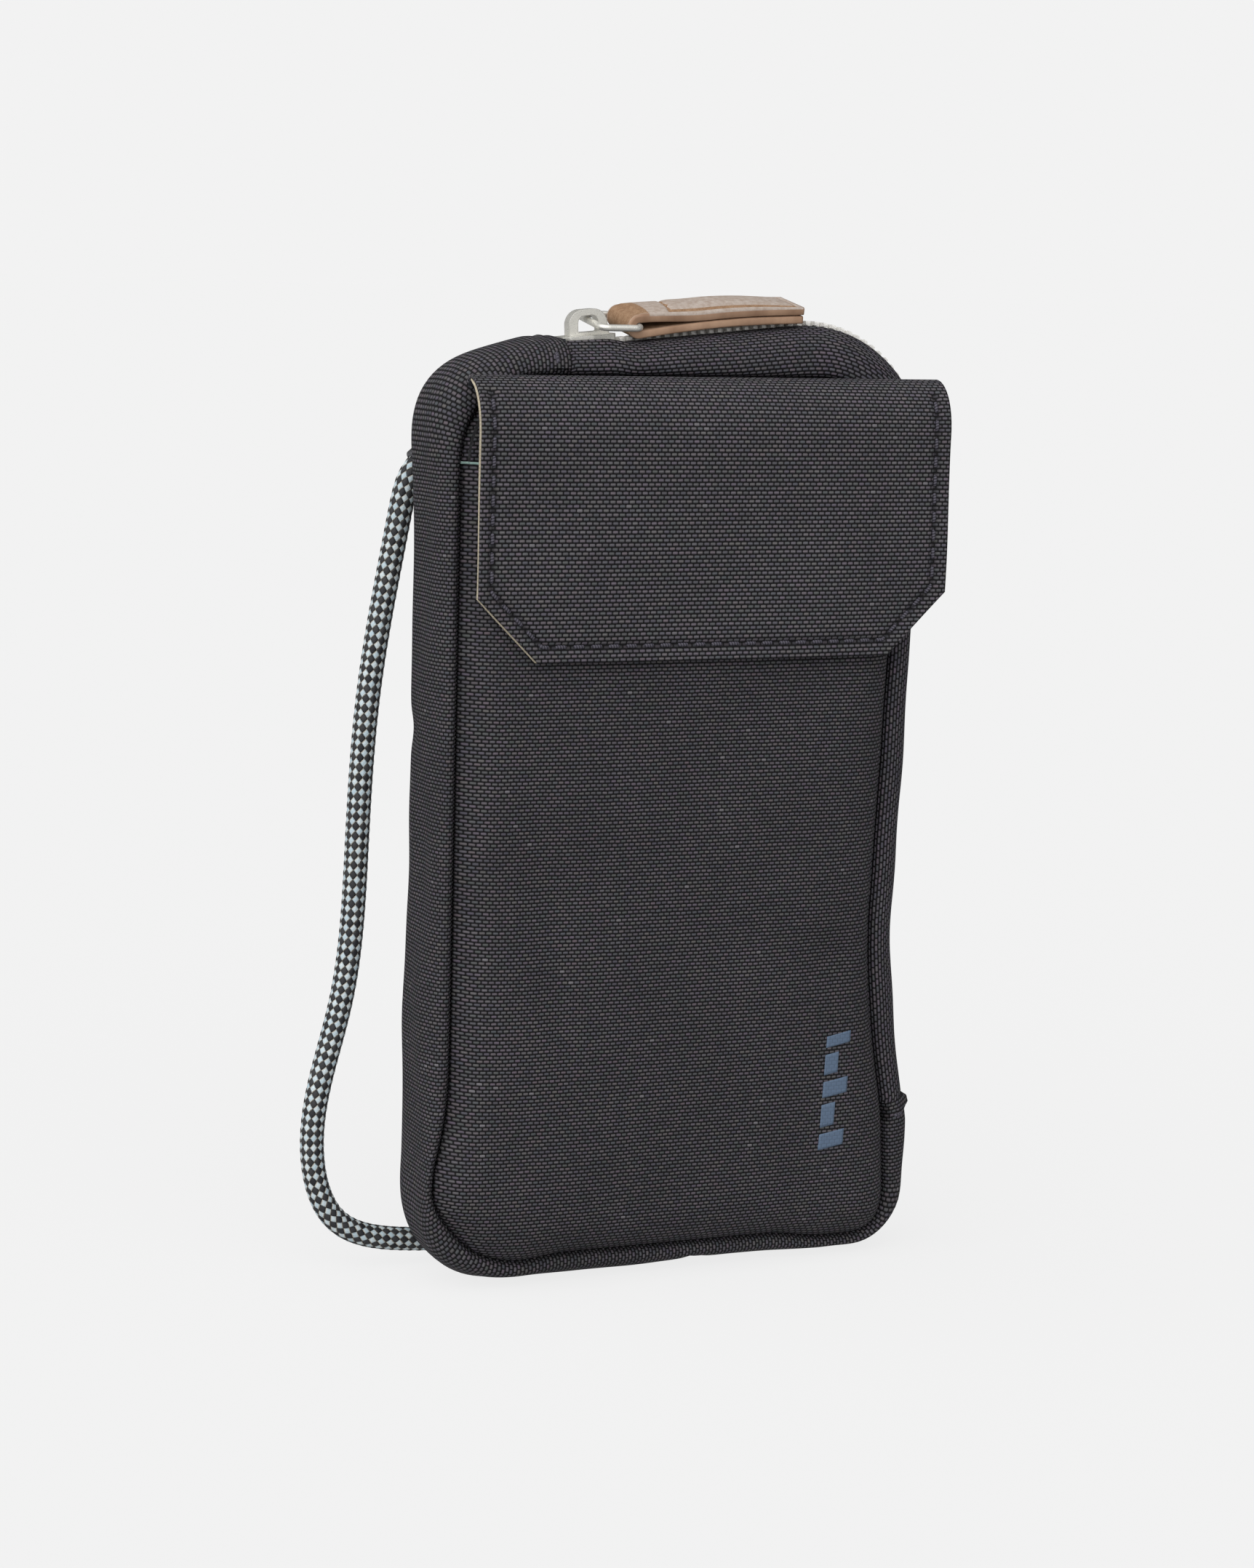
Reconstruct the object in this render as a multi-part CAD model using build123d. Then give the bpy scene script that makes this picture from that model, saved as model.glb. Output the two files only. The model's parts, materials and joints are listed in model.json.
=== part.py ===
from build123d import *
from math import atan2, cos, degrees, hypot, radians, sin
import os

# Zippered phone pouch, in millimetres.
# X runs across the pouch, Y from the front (-Y) to the back, Z up.
# The origin is the middle of the bottom edge, half way between the front and back seams.

# ---- Bag outline ---------------------------------------------------------------------------------
# Corners as (x, z), clockwise from the top left. The right side has a soft waist and a hip.
# The seam outline is the edge of the front and back panels. The ridge outline is the line of the
# zip teeth along the top and right side, and the fullest line of the gusset everywhere else.
SEAM_CORNERS = [(-51, 188), (49.5, 188), (43.7, 61.5), (49.2, 30), (50.4, 5.2), (-51.5, 6)]
SEAM_RADII = [17, 20, 172, 32, 8, 17]
RIDGE_CORNERS = [(-56, 191.4), (58.3, 202.6), (52.2, 61.3), (57.4, 30), (56.6, 0), (-56, 0)]
RIDGE_RADII = [14, 28.5, 180, 40, 13, 18]
# The gusset stands a little prouder than the zip where its folded end covers the start of the tape.
GUSSET_CORNERS = [(-56, 189.2), (58.3, 219)] + RIDGE_CORNERS[2:]

SEAM_Y = 10.0            # the seams lie in the planes y = -10 and y = +10
SHOULDER_Y = 4.6         # the ridge is flat this far to each side of its middle
FIT_GAP = 0.05           # play left between layers that are sewn together
MIN_CORNER = 1.0         # the sharpest rounded corner that an inset outline keeps

# ---- Cloth ---------------------------------------------------------------------------------------
PANEL_CLOTH = 0.75
CROWN_EXTRA = 0.2        # a crowned panel's slopes are made this much thicker than its flat
GUSSET_CLOTH = 1.2
TAPE_CLOTH = 0.5
LINING_CLOTH = 0.4
SEAM_ALLOWANCE = 1.4     # padding and lining stop this far inside the seam
PADDING_INNER_Y = 8.1
LINING_INNER_Y = 7.6
LINING_REACH_Y = 5.4     # the gusset's lining stops short of the seam bindings
BINDING_Y = (7.4, 6.2)
BINDING_INSET = 2.2
BINDING_CLOTH = 0.8

# ---- Zip -----------------------------------------------------------------------------------------
TOOTH_PITCH = 2.02       # pitch of one side; the two sides alternate
TOOTH_THICK = 0.8        # along the chain
TOOTH_HEIGHT = 2.2
TOOTH_HEAD = 0.65        # a tooth reaches this far past the middle of the chain
TOOTH_TAIL = 2.1
TOOTH_CORNER = 0.4
TOOTH_SLOT = (0.7, 0.6)  # where the slot for the tape starts, and its height
TAPE_GAP = 0.8           # from the middle of the chain to the edge of each tape
ZIP_START_X = -27.0
ZIP_END_Z = 33.5

# ---- Slider, ring and leather pull ---------------------------------------------------------------
SLIDER_X = -21.0
PLATE_INNER = 1.25       # inside faces of the slider plates, from the middle of the tape
PLATE_THICK = 0.9
FLANGE_INNER = 0.45
POST = (-4.9, -2.2, 0.5)
STOP = (-4.6, -2.6)
BAIL_WIDTH = 2.5
BAIL_HEIGHT = 5.2
BAIL_FOOT = (-3.6, 5.2)  # where the arch's two legs stand, along the slider
BAIL_HEAD = (-3.4, 4.7)
BAIL_WINDOW = (0.6, 3.9)   # foot and top of the window, from the slider's top plate
WIRE_RADIUS = 0.7
RING_LENGTH = 8.8        # between the middles of the two end bars
RING_WIDTH = 14.4        # between the middles of the two side bars
RING_CORNER = 1.6
RING_BAR = (1.45, 4.9)   # end bar in the bail, in the slider's own frame
RING_ROLL = 10.0         # the front of the ring and pull hangs lower than the back
LEATHER = 1.7
LEATHER_WIDTH = 12.0
LEATHER_LENGTH = 39.8
LEATHER_GAP = 0.15
LEATHER_PLAY = 0.12      # between the ring's wire and the fold

# ---- Flap ----------------------------------------------------------------------------------------
FLAP_X = (-50.6, 54.7)
FLAP_BOTTOM_Z = 131.0
FLAP_TOP_Z = 188.0
FLAP_ROOT_Y = -10.95
FLAP_FRONT_Y = -19.6
FLAP_FOLD = 12.0         # height of the rounded fold at the top
FLAP_CHAMFER = 13.0
BACKING_CLOTH = 0.5
MAGNET_RADIUS = 6.0
MAGNET_THICK = 0.8
MAGNET_Z = 142.0

# ---- Front pocket --------------------------------------------------------------------------------
POCKET_TOP_Z = 170.5
HEM_HEIGHT = 8.0
POCKET_CROWN = [(-10.9, 0.0), (-14.5, 3.5), (-16.9, 12.0)]   # (y, distance inside the seam outline)

# ---- Back ----------------------------------------------------------------------------------------
BACK_CROWN = [(10.05, 0.0), (11.4, 3.0), (12.6, 14.0)]

# ---- Cord ----------------------------------------------------------------------------------------
CORD_RADIUS = 2.5
CORD_Y = 16.4
ANCHOR_Z = 178.0
ANCHOR_X = (-45.0, 38.0)
ANCHOR_SPAN = 9.0
ANCHOR_HEIGHT = 4.0
ANCHOR_CLOTH = 1.0
ANCHOR_FOOT_Y = 12.3
EYE_RADIUS = 3.4
EYE_WIRE = 0.8
CAP_RADIUS = 3.3
CAP_LENGTH = 6.0
CAP_DROP = 5.6           # from the eye's middle down to the top of the cap
CAP_LEAN = (49.0, 0.0)   # how far each cap leans to the left of straight down, in degrees
CAP_SHIFT = 1.2          # a leaning cap sits this far to the left of its eye


# ---- Outlines and shells -------------------------------------------------------------------------
def inset_corners(corners, radii, depth):
    """Move an outline inwards by depth, keeping its rounded corners concentric."""
    moved = []
    new_radii = []
    for i, (x, z) in enumerate(corners):
        before = corners[i - 1]
        after = corners[(i + 1) % len(corners)]
        ax, az = x - before[0], z - before[1]
        bx, bz = after[0] - x, after[1] - z
        a_len, b_len = hypot(ax, az), hypot(bx, bz)
        ax, az, bx, bz = ax / a_len, az / a_len, bx / b_len, bz / b_len
        turn = ax * bz - az * bx
        scale = depth / (1 + ax * bx + az * bz)
        moved.append((x + (az + bz) * scale, z - (ax + bx) * scale))
        new_radii.append(max(MIN_CORNER, radii[i] - depth) if turn < 0 else radii[i] + depth)
    return moved, new_radii


def between(a, b, share):
    """Blend two numbers."""
    return a + (b - a) * share


def bag_corners(y, ridge=RIDGE_CORNERS):
    """The bag's outline at one depth, between the seam outline and the ridge outline."""
    share = min(1.0, max(0.0, (SEAM_Y - abs(y)) / (SEAM_Y - SHOULDER_Y)))
    pairs = zip(SEAM_CORNERS, ridge)
    corners = [(between(s[0], r[0], share), between(s[1], r[1], share)) for s, r in pairs]
    radii = [between(s, r, share) for s, r in zip(SEAM_RADII, RIDGE_RADII)]
    return corners, radii


def outline(corners, radii, inset, y):
    """A flat face with rounded corners, facing the front, at depth y."""
    corners, radii = inset_corners(corners, radii, inset)
    flat = make_face(FilletPolyline(*corners, radius=radii, close=True))
    return Plane(origin=(0, y, 0), x_dir=(1, 0, 0), z_dir=(0, -1, 0)) * flat


def crowned(sections, extra_inset=0.0, shift_y=0.0):
    """A closed form whose seam outline steps inwards as it leaves the seam plane."""
    faces = []
    for y, inset in sections:
        faces.append(outline(SEAM_CORNERS, SEAM_RADII, inset + extra_inset, y + shift_y))
    return loft(faces, ruled=True)


def bag_form(inset_ridge, inset_seam, ridge=RIDGE_CORNERS, stretch=0.0):
    """The whole bag between its seams, as a closed form."""
    seam = (SEAM_CORNERS, SEAM_RADII, inset_seam)
    full = (ridge, RIDGE_RADII, inset_ridge)
    stations = [(seam, -SEAM_Y), (full, -SHOULDER_Y), (full, SHOULDER_Y), (seam, SEAM_Y)]
    if stretch:
        stations = [(seam, -SEAM_Y - stretch)] + stations + [(seam, SEAM_Y + stretch)]
    return loft([outline(*shape, y) for shape, y in stations], ruled=True)


def ring(y_near, y_far, inset, thickness, ridge=RIDGE_CORNERS):
    """A band of cloth that follows the inside of the bag between two depths."""
    depths = sorted({y_near, y_far} | {y for y in (-SHOULDER_Y, SHOULDER_Y) if y_near < y < y_far})
    outer = loft([outline(*bag_corners(y, ridge), inset, y) for y in depths], ruled=True)
    inner = loft([outline(*bag_corners(y, ridge), inset + thickness, y) for y in depths], ruled=True)
    return outer - inner


def block(x, y, z):
    """A box from its low and high limits on each axis."""
    size = (x[1] - x[0], y[1] - y[0], z[1] - z[0])
    middle = (sum(x) / 2, sum(y) / 2, sum(z) / 2)
    return Pos(*middle) * Box(*size)


def zip_side(margin=0.0):
    """The space of the bag's edge that the zip takes, along the top and down the right side."""
    return block((ZIP_START_X - margin, 90), (-30, 30), (ZIP_END_Z - margin, 240))


# ---- Bag body ------------------------------------------------------------------------------------
def make_gusset():
    shell = bag_form(0, 0, GUSSET_CORNERS) - bag_form(GUSSET_CLOTH, GUSSET_CLOTH, GUSSET_CORNERS, 2)
    return shell - zip_side(FIT_GAP)


def make_gusset_lining():
    band = ring(-LINING_REACH_Y, LINING_REACH_Y, GUSSET_CLOTH + 0.4, LINING_CLOTH, GUSSET_CORNERS)
    return band - zip_side(FIT_GAP)


def make_front_panel():
    face = outline(SEAM_CORNERS, SEAM_RADII, 0, -SEAM_Y - FIT_GAP)
    return extrude(face, PANEL_CLOTH)


def make_flat_layer(y_near, y_far):
    face = outline(SEAM_CORNERS, SEAM_RADII, SEAM_ALLOWANCE, y_far)
    return extrude(face, y_far - y_near)


def make_back_panel():
    outer = crowned(BACK_CROWN)
    hollow = crowned(BACK_CROWN, PANEL_CLOTH + CROWN_EXTRA, -PANEL_CLOTH)
    return outer - hollow


def make_back_padding():
    slab = make_flat_layer(PADDING_INNER_Y, SEAM_Y)
    crown = crowned([(SEAM_Y, 3.4), (10.5, 5.0), (11.7, 15.6)])
    return slab + crown


def make_binding(side):
    near, far = sorted((side * BINDING_Y[0], side * BINDING_Y[1]))
    return ring(near, far, BINDING_INSET, BINDING_CLOTH)


def make_pocket_panel():
    shell = crowned(POCKET_CROWN) - crowned(POCKET_CROWN, PANEL_CLOTH + CROWN_EXTRA, PANEL_CLOTH)
    return shell & block((-90, 90), (-30, 0), (-10, POCKET_TOP_Z))


def make_pocket_hem():
    start = PANEL_CLOTH + FIT_GAP
    outer = crowned(POCKET_CROWN, start + CROWN_EXTRA, start)
    end = start + LINING_CLOTH
    hollow = crowned(POCKET_CROWN, end + CROWN_EXTRA, end)
    heights = (POCKET_TOP_Z - HEM_HEIGHT, POCKET_TOP_Z)
    strip = block((-90, 90), (-30, POCKET_CROWN[0][0] - FIT_GAP), heights)
    return (outer - hollow) & strip


def make_magnet(y):
    return Plane(origin=(0, y, MAGNET_Z), z_dir=(0, -1, 0)) * Cylinder(MAGNET_RADIUS, MAGNET_THICK)


# ---- Zip -----------------------------------------------------------------------------------------
def make_zip_path():
    """The middle of the tape from the start of the zip, along the top and down the side."""
    corners, radii = inset_corners(RIDGE_CORNERS, RIDGE_RADII, TOOTH_HEIGHT / 2)
    top_left, top_right, waist, hip = corners[:4]
    start_share = (ZIP_START_X - top_left[0]) / (top_right[0] - top_left[0])
    start = (ZIP_START_X, between(top_left[1], top_right[1], start_share))
    end_share = (ZIP_END_Z - waist[1]) / (hip[1] - waist[1])
    end = (between(waist[0], hip[0], end_share), ZIP_END_Z)
    flat = FilletPolyline(start, top_right, waist, end, radius=radii[1:3])
    return (Plane.XZ * flat).wire()


ZIP_PATH = make_zip_path()
TOP_LEFT, TOP_RIGHT = RIDGE_CORNERS[:2]
CLIMB = degrees(atan2(TOP_RIGHT[1] - TOP_LEFT[1], TOP_RIGHT[0] - TOP_LEFT[0]))
SLIDER_S = (SLIDER_X - ZIP_START_X) / cos(radians(CLIMB))
TEETH_FROM = SLIDER_S - 1.6
TEETH_TO = ZIP_PATH.length - 4.0


def chain_frame(distance):
    """X along the chain, Y to the back of the bag, Z out of the bag, on the middle of the tape."""
    point = ZIP_PATH.position_at(distance, position_mode=PositionMode.LENGTH)
    along = ZIP_PATH.tangent_at(distance, position_mode=PositionMode.LENGTH)
    return Plane(origin=point, x_dir=along, z_dir=(-along.Z, 0, along.X))


def make_tape(side):
    outer_inset = (TOOTH_HEIGHT - TAPE_CLOTH) / 2
    shell = bag_form(outer_inset, 0) - bag_form(outer_inset + TAPE_CLOTH, TAPE_CLOTH, stretch=2)
    half = sorted((side * TAPE_GAP, side * 30))
    return shell & zip_side() & block((-90, 90), half, (-10, 240))


def make_tooth(side):
    """One tooth: a rounded head, and two legs that grip the edge of the tape."""
    length = TOOTH_HEAD + TOOTH_TAIL
    middle = (TOOTH_TAIL - TOOTH_HEAD) / 2
    profile = Pos(middle, 0) * RectangleRounded(length, TOOTH_HEIGHT, TOOTH_CORNER)
    slot_start, slot_height = TOOTH_SLOT
    slot_length = 2 * (TOOTH_TAIL - slot_start)
    profile -= Pos(TOOTH_TAIL, 0) * Rectangle(slot_length, slot_height)
    tooth = extrude(Plane.YZ * profile, TOOTH_THICK / 2, both=True)
    return tooth if side > 0 else mirror(tooth, Plane.XZ)


def make_teeth(side):
    tooth = make_tooth(side)
    start = TEETH_FROM if side > 0 else TEETH_FROM + TOOTH_PITCH / 2
    count = int((TEETH_TO - start) / TOOTH_PITCH) + 1
    places = [chain_frame(start + i * TOOTH_PITCH).location for i in range(count)]
    return Compound([solid for place in places for solid in (place * tooth).solids()])


def make_top_stops():
    """Two small clips that stop the slider at the closed end."""
    stops = []
    for side in (-1, 1):
        low, high = sorted((side * 0.7, side * TOOTH_TAIL))
        clip = block(STOP, (low, high), (-1, 1))
        slot_low, slot_high = sorted((side * 0.75, side * 9))
        clip -= block((-9, 9), (slot_low, slot_high), (-TOOTH_SLOT[1] / 2, TOOTH_SLOT[1] / 2))
        stops += (chain_frame(SLIDER_S).location * clip).solids()
    return Compound(stops)


def make_bottom_stop():
    """A staple across both tapes that stops the slider at the open end."""
    bar = TOOTH_SLOT[1] / 2
    plates = block((-1, 1), (-TOOTH_TAIL, TOOTH_TAIL), (-1, 1))
    for side in (-1, 1):
        low, high = sorted((side * (TAPE_GAP - FIT_GAP), side * 9))
        plates -= block((-9, 9), (low, high), (-bar, bar))
    return chain_frame(ZIP_PATH.length - 2.0).location * plates


# ---- Slider, ring and pull -----------------------------------------------------------------------
def make_slider():
    half = [(-5.8, 2.6), (-4.6, 4.2), (0.5, 4.2), (5.8, 3.4)]
    loop = half + [(x, -y) for x, y in reversed(half)]
    plan = fillet(make_face(Polyline(*loop, close=True)).vertices(), 0.6)
    throat_half = [(-9, 3.5), (0.5, 3.5), (9, 2.3)]
    throat = make_face(Polyline(*(throat_half + [(x, -y) for x, y in reversed(throat_half)]), close=True))
    outside = PLATE_INNER + PLATE_THICK
    body = Pos(0, 0, -outside) * extrude(plan, 2 * outside)
    body -= Pos(0, 0, -PLATE_INNER) * extrude(throat, 2 * PLATE_INNER)
    body -= block((-9, 9), (-9, 9), (-FLANGE_INNER, FLANGE_INNER))
    post_start, post_end, post_half = POST
    body += block((post_start, post_end), (-post_half, post_half), (-PLATE_INNER, PLATE_INNER))
    return chain_frame(SLIDER_S).location * (body + make_bail(outside))


def make_bail(base):
    """The arch on top of the slider that holds the ring."""
    top = base + BAIL_HEIGHT
    left, right = BAIL_FOOT
    head_left, head_right = BAIL_HEAD
    corners = [(left, base), (head_left, top), (head_right, top), (right, base)]
    arch = FilletPolyline(*corners, radius=(3.2, 3.0))
    sill = Line((right, base), (left, base))
    foot, head = (base + z for z in BAIL_WINDOW)
    window_points = [(-1.6, foot), (-1.4, head), (2.8, head), (3.1, foot)]
    window = make_face(FilletPolyline(*window_points, radius=(0.3, 1.6, 1.3, 0.3), close=True))
    face = make_face([arch.edges(), sill.edges()]) - window
    return extrude(Plane.XZ * face, BAIL_WIDTH / 2, both=True)


def ring_frame():
    """The slider's frame moved to the ring's bar in the bail, laid level and rolled forwards."""
    bar_x, bar_z = RING_BAR
    at_bar = chain_frame(SLIDER_S).location * Pos(bar_x, 0, bar_z)
    return at_bar * Rot(0, CLIMB, 0) * Rot(RING_ROLL, 0, 0)


def pull_frame():
    """The middle of the ring's far bar, with X along the chain and the same roll as the ring."""
    far_x = RING_BAR[0] + RING_LENGTH * cos(radians(CLIMB))
    far_z = RING_BAR[1] - RING_LENGTH * sin(radians(CLIMB))
    return chain_frame(SLIDER_S).location * Pos(far_x, 0, far_z) * Rot(RING_ROLL, 0, 0)


def make_ring():
    x = (0, RING_LENGTH)
    y = RING_WIDTH / 2
    loop = FilletPolyline((x[0], -y), (x[1], -y), (x[1], y), (x[0], y), radius=RING_CORNER, close=True)
    path = loop.wire()
    section = Plane(origin=path @ 0, z_dir=path % 0) * Circle(WIRE_RADIUS)
    return ring_frame() * sweep(section, path=path)


def make_pull():
    """A leather strip folded round the ring and laid back on itself."""
    inner = WIRE_RADIUS + LEATHER_PLAY
    outer = inner + LEATHER
    end = LEATHER_LENGTH - outer
    top = 2 * LEATHER + LEATHER_GAP - outer
    outer_fold = ThreePointArc((0, -outer), (-outer, 0), (0, outer))
    inner_fold = ThreePointArc((0, inner), (-inner, 0), (0, -inner))
    upper = Polyline(
        (0, outer), (9, top), (end, top), (end, top - LEATHER), (8.4, top - LEATHER), (0, inner)
    )
    lower = Polyline((0, -inner), (end, LEATHER - outer), (end, -outer), (0, -outer))
    face = make_face([outer_fold.edge(), *upper.edges(), inner_fold.edge(), *lower.edges()])
    return pull_frame() * extrude(Plane.XZ * face, LEATHER_WIDTH / 2, both=True)


# ---- Flap ----------------------------------------------------------------------------------------
def flap_region(depth):
    """The space under the flap's skin at one depth, seen along X, as (y, z)."""
    front = FLAP_FRONT_Y + depth
    top = FLAP_TOP_Z - depth
    reach = FLAP_ROOT_Y - front
    fold_z = FLAP_TOP_Z - FLAP_FOLD
    centre = (FLAP_ROOT_Y, fold_z)
    fold = EllipticalCenterArc(centre, reach, top - fold_z, start_angle=90, arc_size=90)
    low = FLAP_BOTTOM_Z
    rest = Polyline((front, fold_z), (front, low), (FLAP_ROOT_Y, low), (FLAP_ROOT_Y, top))
    return make_face([fold.edge(), *rest.edges()])


def make_flap_layer(depth, thickness, margin=0.0):
    """One layer of the flap, cut to a rectangle with two bevelled lower corners."""
    profile = flap_region(depth) - flap_region(depth + thickness)
    left, right = FLAP_X[0] + margin, FLAP_X[1] - margin
    sheet = Pos(left, 0, 0) * extrude(Plane.YZ * profile, right - left)
    low = FLAP_BOTTOM_Z
    cut_z = low + FLAP_CHAMFER
    pattern = Polyline(
        (left, 200), (left, cut_z), (left + FLAP_CHAMFER, low), (right - FLAP_CHAMFER, low),
        (right, cut_z), (right, 200), close=True,
    )
    return sheet & extrude(Plane.XZ * make_face(pattern), 40)


# ---- Cord ----------------------------------------------------------------------------------------
def make_anchor(x):
    """A webbing loop sewn to the back panel."""
    half = ANCHOR_SPAN / 2
    half_height = ANCHOR_HEIGHT / 2
    outer_y = CORD_Y + ANCHOR_CLOTH / 2
    outside = block((-half, half), (ANCHOR_FOOT_Y, outer_y), (-half_height, half_height))
    inner_half = half - ANCHOR_CLOTH
    hole = block((-inner_half, inner_half), (0, outer_y - ANCHOR_CLOTH), (-9, 9))
    return Pos(x, 0, ANCHOR_Z) * (outside - hole)


def cap_frame(index):
    """Z points from the eye down along the cap, at the top of the cap."""
    lean = radians(CAP_LEAN[index])
    down = (-sin(lean), 0, -cos(lean))
    shift = -CAP_SHIFT if CAP_LEAN[index] else 0.0
    return Plane(origin=(ANCHOR_X[index] + shift, CORD_Y, ANCHOR_Z - CAP_DROP), z_dir=down)


def make_cord_end(index):
    """A cap that grips the cord's end, with an eye that hangs in the webbing loop."""
    eye = Pos(ANCHOR_X[index], CORD_Y, ANCHOR_Z) * Rot(0, 90, 0) * Torus(EYE_RADIUS, EYE_WIRE)
    frame = cap_frame(index).location
    align = (Align.CENTER, Align.CENTER, Align.MIN)
    cap = fillet(Cylinder(CAP_RADIUS, CAP_LENGTH, align=align).edges(), 0.5)
    cap -= Pos(0, 0, 1.5) * Cylinder(CORD_RADIUS + 0.02, CAP_LENGTH, align=align)
    neck_from = Vector(ANCHOR_X[index], CORD_Y, ANCHOR_Z - EYE_RADIUS)
    neck_to = cap_frame(index).origin + cap_frame(index).z_dir * 0.8
    along = neck_to - neck_from
    neck = Plane(origin=neck_from, z_dir=along).location * Cylinder(1.2, along.length, align=align)
    return eye + frame * cap + neck


def make_cord():
    """A round braid from the left cap, out past the left side, behind the bag, to the right cap."""
    left, right = cap_frame(0), cap_frame(1)
    depths = (1.6, 3.8, CAP_LENGTH)
    leaves = [left.origin + left.z_dir * depth for depth in depths]
    enters = [right.origin + right.z_dir * depth for depth in reversed(depths)]
    hang = [(-54, 160), (-60.7, 120.6), (-62.7, 90), (-66, 56), (-71.8, 26), (-66, 9.6), (-50, 4.4)]
    rise = [(-20, 5.5), (8, 20), (27, 55), (36.5, 110), (38, 150)]
    middle = [(x, CORD_Y, z) for x, z in hang + rise]
    path = Spline(*leaves, *middle, *enters, tangents=(left.z_dir, -right.z_dir))
    section = Plane(origin=path @ 0, z_dir=path % 0) * Circle(CORD_RADIUS)
    return sweep(section, path=path)


# ---- Every piece, by name ------------------------------------------------------------------------
PIECES = {
    "gusset": make_gusset,
    "gusset_lining": make_gusset_lining,
    "front_panel": make_front_panel,
    "front_padding": lambda: make_flat_layer(-SEAM_Y, -PADDING_INNER_Y),
    "front_lining": lambda: make_flat_layer(-LINING_INNER_Y - LINING_CLOTH, -LINING_INNER_Y),
    "back_panel": make_back_panel,
    "back_padding": make_back_padding,
    "back_lining": lambda: make_flat_layer(LINING_INNER_Y, LINING_INNER_Y + LINING_CLOTH),
    "seam_binding_front": lambda: make_binding(-1),
    "seam_binding_back": lambda: make_binding(1),
    "pocket_panel": make_pocket_panel,
    "pocket_hem": make_pocket_hem,
    "pocket_magnet": lambda: make_magnet(-15.4),
    "zip_tape_front": lambda: make_tape(-1),
    "zip_tape_back": lambda: make_tape(1),
    "zip_teeth_front": lambda: make_teeth(-1),
    "zip_teeth_back": lambda: make_teeth(1),
    "zip_top_stops": make_top_stops,
    "zip_bottom_stop": make_bottom_stop,
    "slider": make_slider,
    "pull_ring": make_ring,
    "pull_leather": make_pull,
    "flap_panel": lambda: make_flap_layer(0, PANEL_CLOTH),
    "flap_backing": lambda: make_flap_layer(PANEL_CLOTH + FIT_GAP, BACKING_CLOTH),
    "flap_magnet": lambda: make_magnet(-17.75),
    "cord_anchor_left": lambda: make_anchor(ANCHOR_X[0]),
    "cord_anchor_right": lambda: make_anchor(ANCHOR_X[1]),
    "cord_end_left": lambda: make_cord_end(0),
    "cord_end_right": lambda: make_cord_end(1),
    "cord": make_cord,
}

os.makedirs("parts", exist_ok=True)
for name, make in PIECES.items():
    export_step(make(), f"parts/{name}.step")
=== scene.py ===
import json
import math
import bmesh
import bpy
import numpy as np
from mathutils import Matrix, Vector
from mathutils.bvhtree import BVHTree


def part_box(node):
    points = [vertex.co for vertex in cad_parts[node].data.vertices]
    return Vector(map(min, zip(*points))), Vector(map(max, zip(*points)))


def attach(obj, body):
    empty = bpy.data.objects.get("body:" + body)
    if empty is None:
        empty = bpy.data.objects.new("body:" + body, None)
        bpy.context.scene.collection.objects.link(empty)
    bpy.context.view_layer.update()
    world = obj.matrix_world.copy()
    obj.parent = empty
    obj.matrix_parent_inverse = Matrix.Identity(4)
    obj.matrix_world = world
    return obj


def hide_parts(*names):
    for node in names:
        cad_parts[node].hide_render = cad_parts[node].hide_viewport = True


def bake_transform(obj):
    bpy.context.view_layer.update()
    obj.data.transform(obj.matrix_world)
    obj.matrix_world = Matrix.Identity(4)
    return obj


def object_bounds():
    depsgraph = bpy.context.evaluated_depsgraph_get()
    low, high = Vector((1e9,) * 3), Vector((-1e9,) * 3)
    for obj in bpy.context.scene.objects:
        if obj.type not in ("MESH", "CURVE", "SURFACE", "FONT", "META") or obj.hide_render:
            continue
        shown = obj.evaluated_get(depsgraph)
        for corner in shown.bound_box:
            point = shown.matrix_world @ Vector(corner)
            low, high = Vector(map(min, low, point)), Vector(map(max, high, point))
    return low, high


# Looks for the zippered pouch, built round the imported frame. Meshes are worked out in millimetres.
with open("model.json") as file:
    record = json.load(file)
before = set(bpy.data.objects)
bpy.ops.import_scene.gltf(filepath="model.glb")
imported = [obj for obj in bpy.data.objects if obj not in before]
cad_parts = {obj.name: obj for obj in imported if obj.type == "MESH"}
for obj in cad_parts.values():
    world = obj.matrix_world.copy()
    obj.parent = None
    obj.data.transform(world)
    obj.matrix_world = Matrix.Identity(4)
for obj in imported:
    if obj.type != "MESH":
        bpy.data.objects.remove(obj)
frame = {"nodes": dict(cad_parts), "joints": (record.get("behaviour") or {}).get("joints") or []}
CAD_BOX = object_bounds()
NODES = frame["nodes"]
JOINTS = {joint["name"]: joint for joint in frame["joints"]}
MM = 0.001

# ---- Driving sizes, in millimetres ---------------------------------------------------------------
SEAM_Y = 9.9             # the seams lie this far in front of and behind the middle
SHOULDER_Y = 3.4         # the gusset is flat this far to each side
TAPE_SHOULDER_Y = 2.3    # and each zip tape up to here, so that the teeth stand clear
GROOVE = 0.35            # panels start this far inside the seam, which leaves a dark groove
OUTLINE_STEP = 1.0
SPINE_STEP = 2.0
GUSSET_CLOTH = 1.1
PANEL_CLOTH = 0.7
TAPE_CLOTH = 0.5
TAPE_GAP = 0.8           # half the gap between the tapes, where the teeth mesh
STITCH_INSET = 3.2
STITCH_PITCH = 3.8
STITCH_LENGTH = 2.7
THREAD = 0.4
WEAVE = (1.26, 0.78)     # dash pitch across and row pitch of the cloth
TWILL = (1.5, 0.84)
CORD_LOZENGES = 9
LOZENGE_LENGTH = 2.04
CORD_RELIEF = 0.17
LEATHER = 1.7
LEATHER_WIDTH = 12.0
LEATHER_TURN = 1.65      # radius of the fold, to the middle of the leather
ROLL_DEPTH = 1.9         # the gusset rolls over in front of the seam, then dives this deep into it
ROLL_RISE = 1.4


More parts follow.
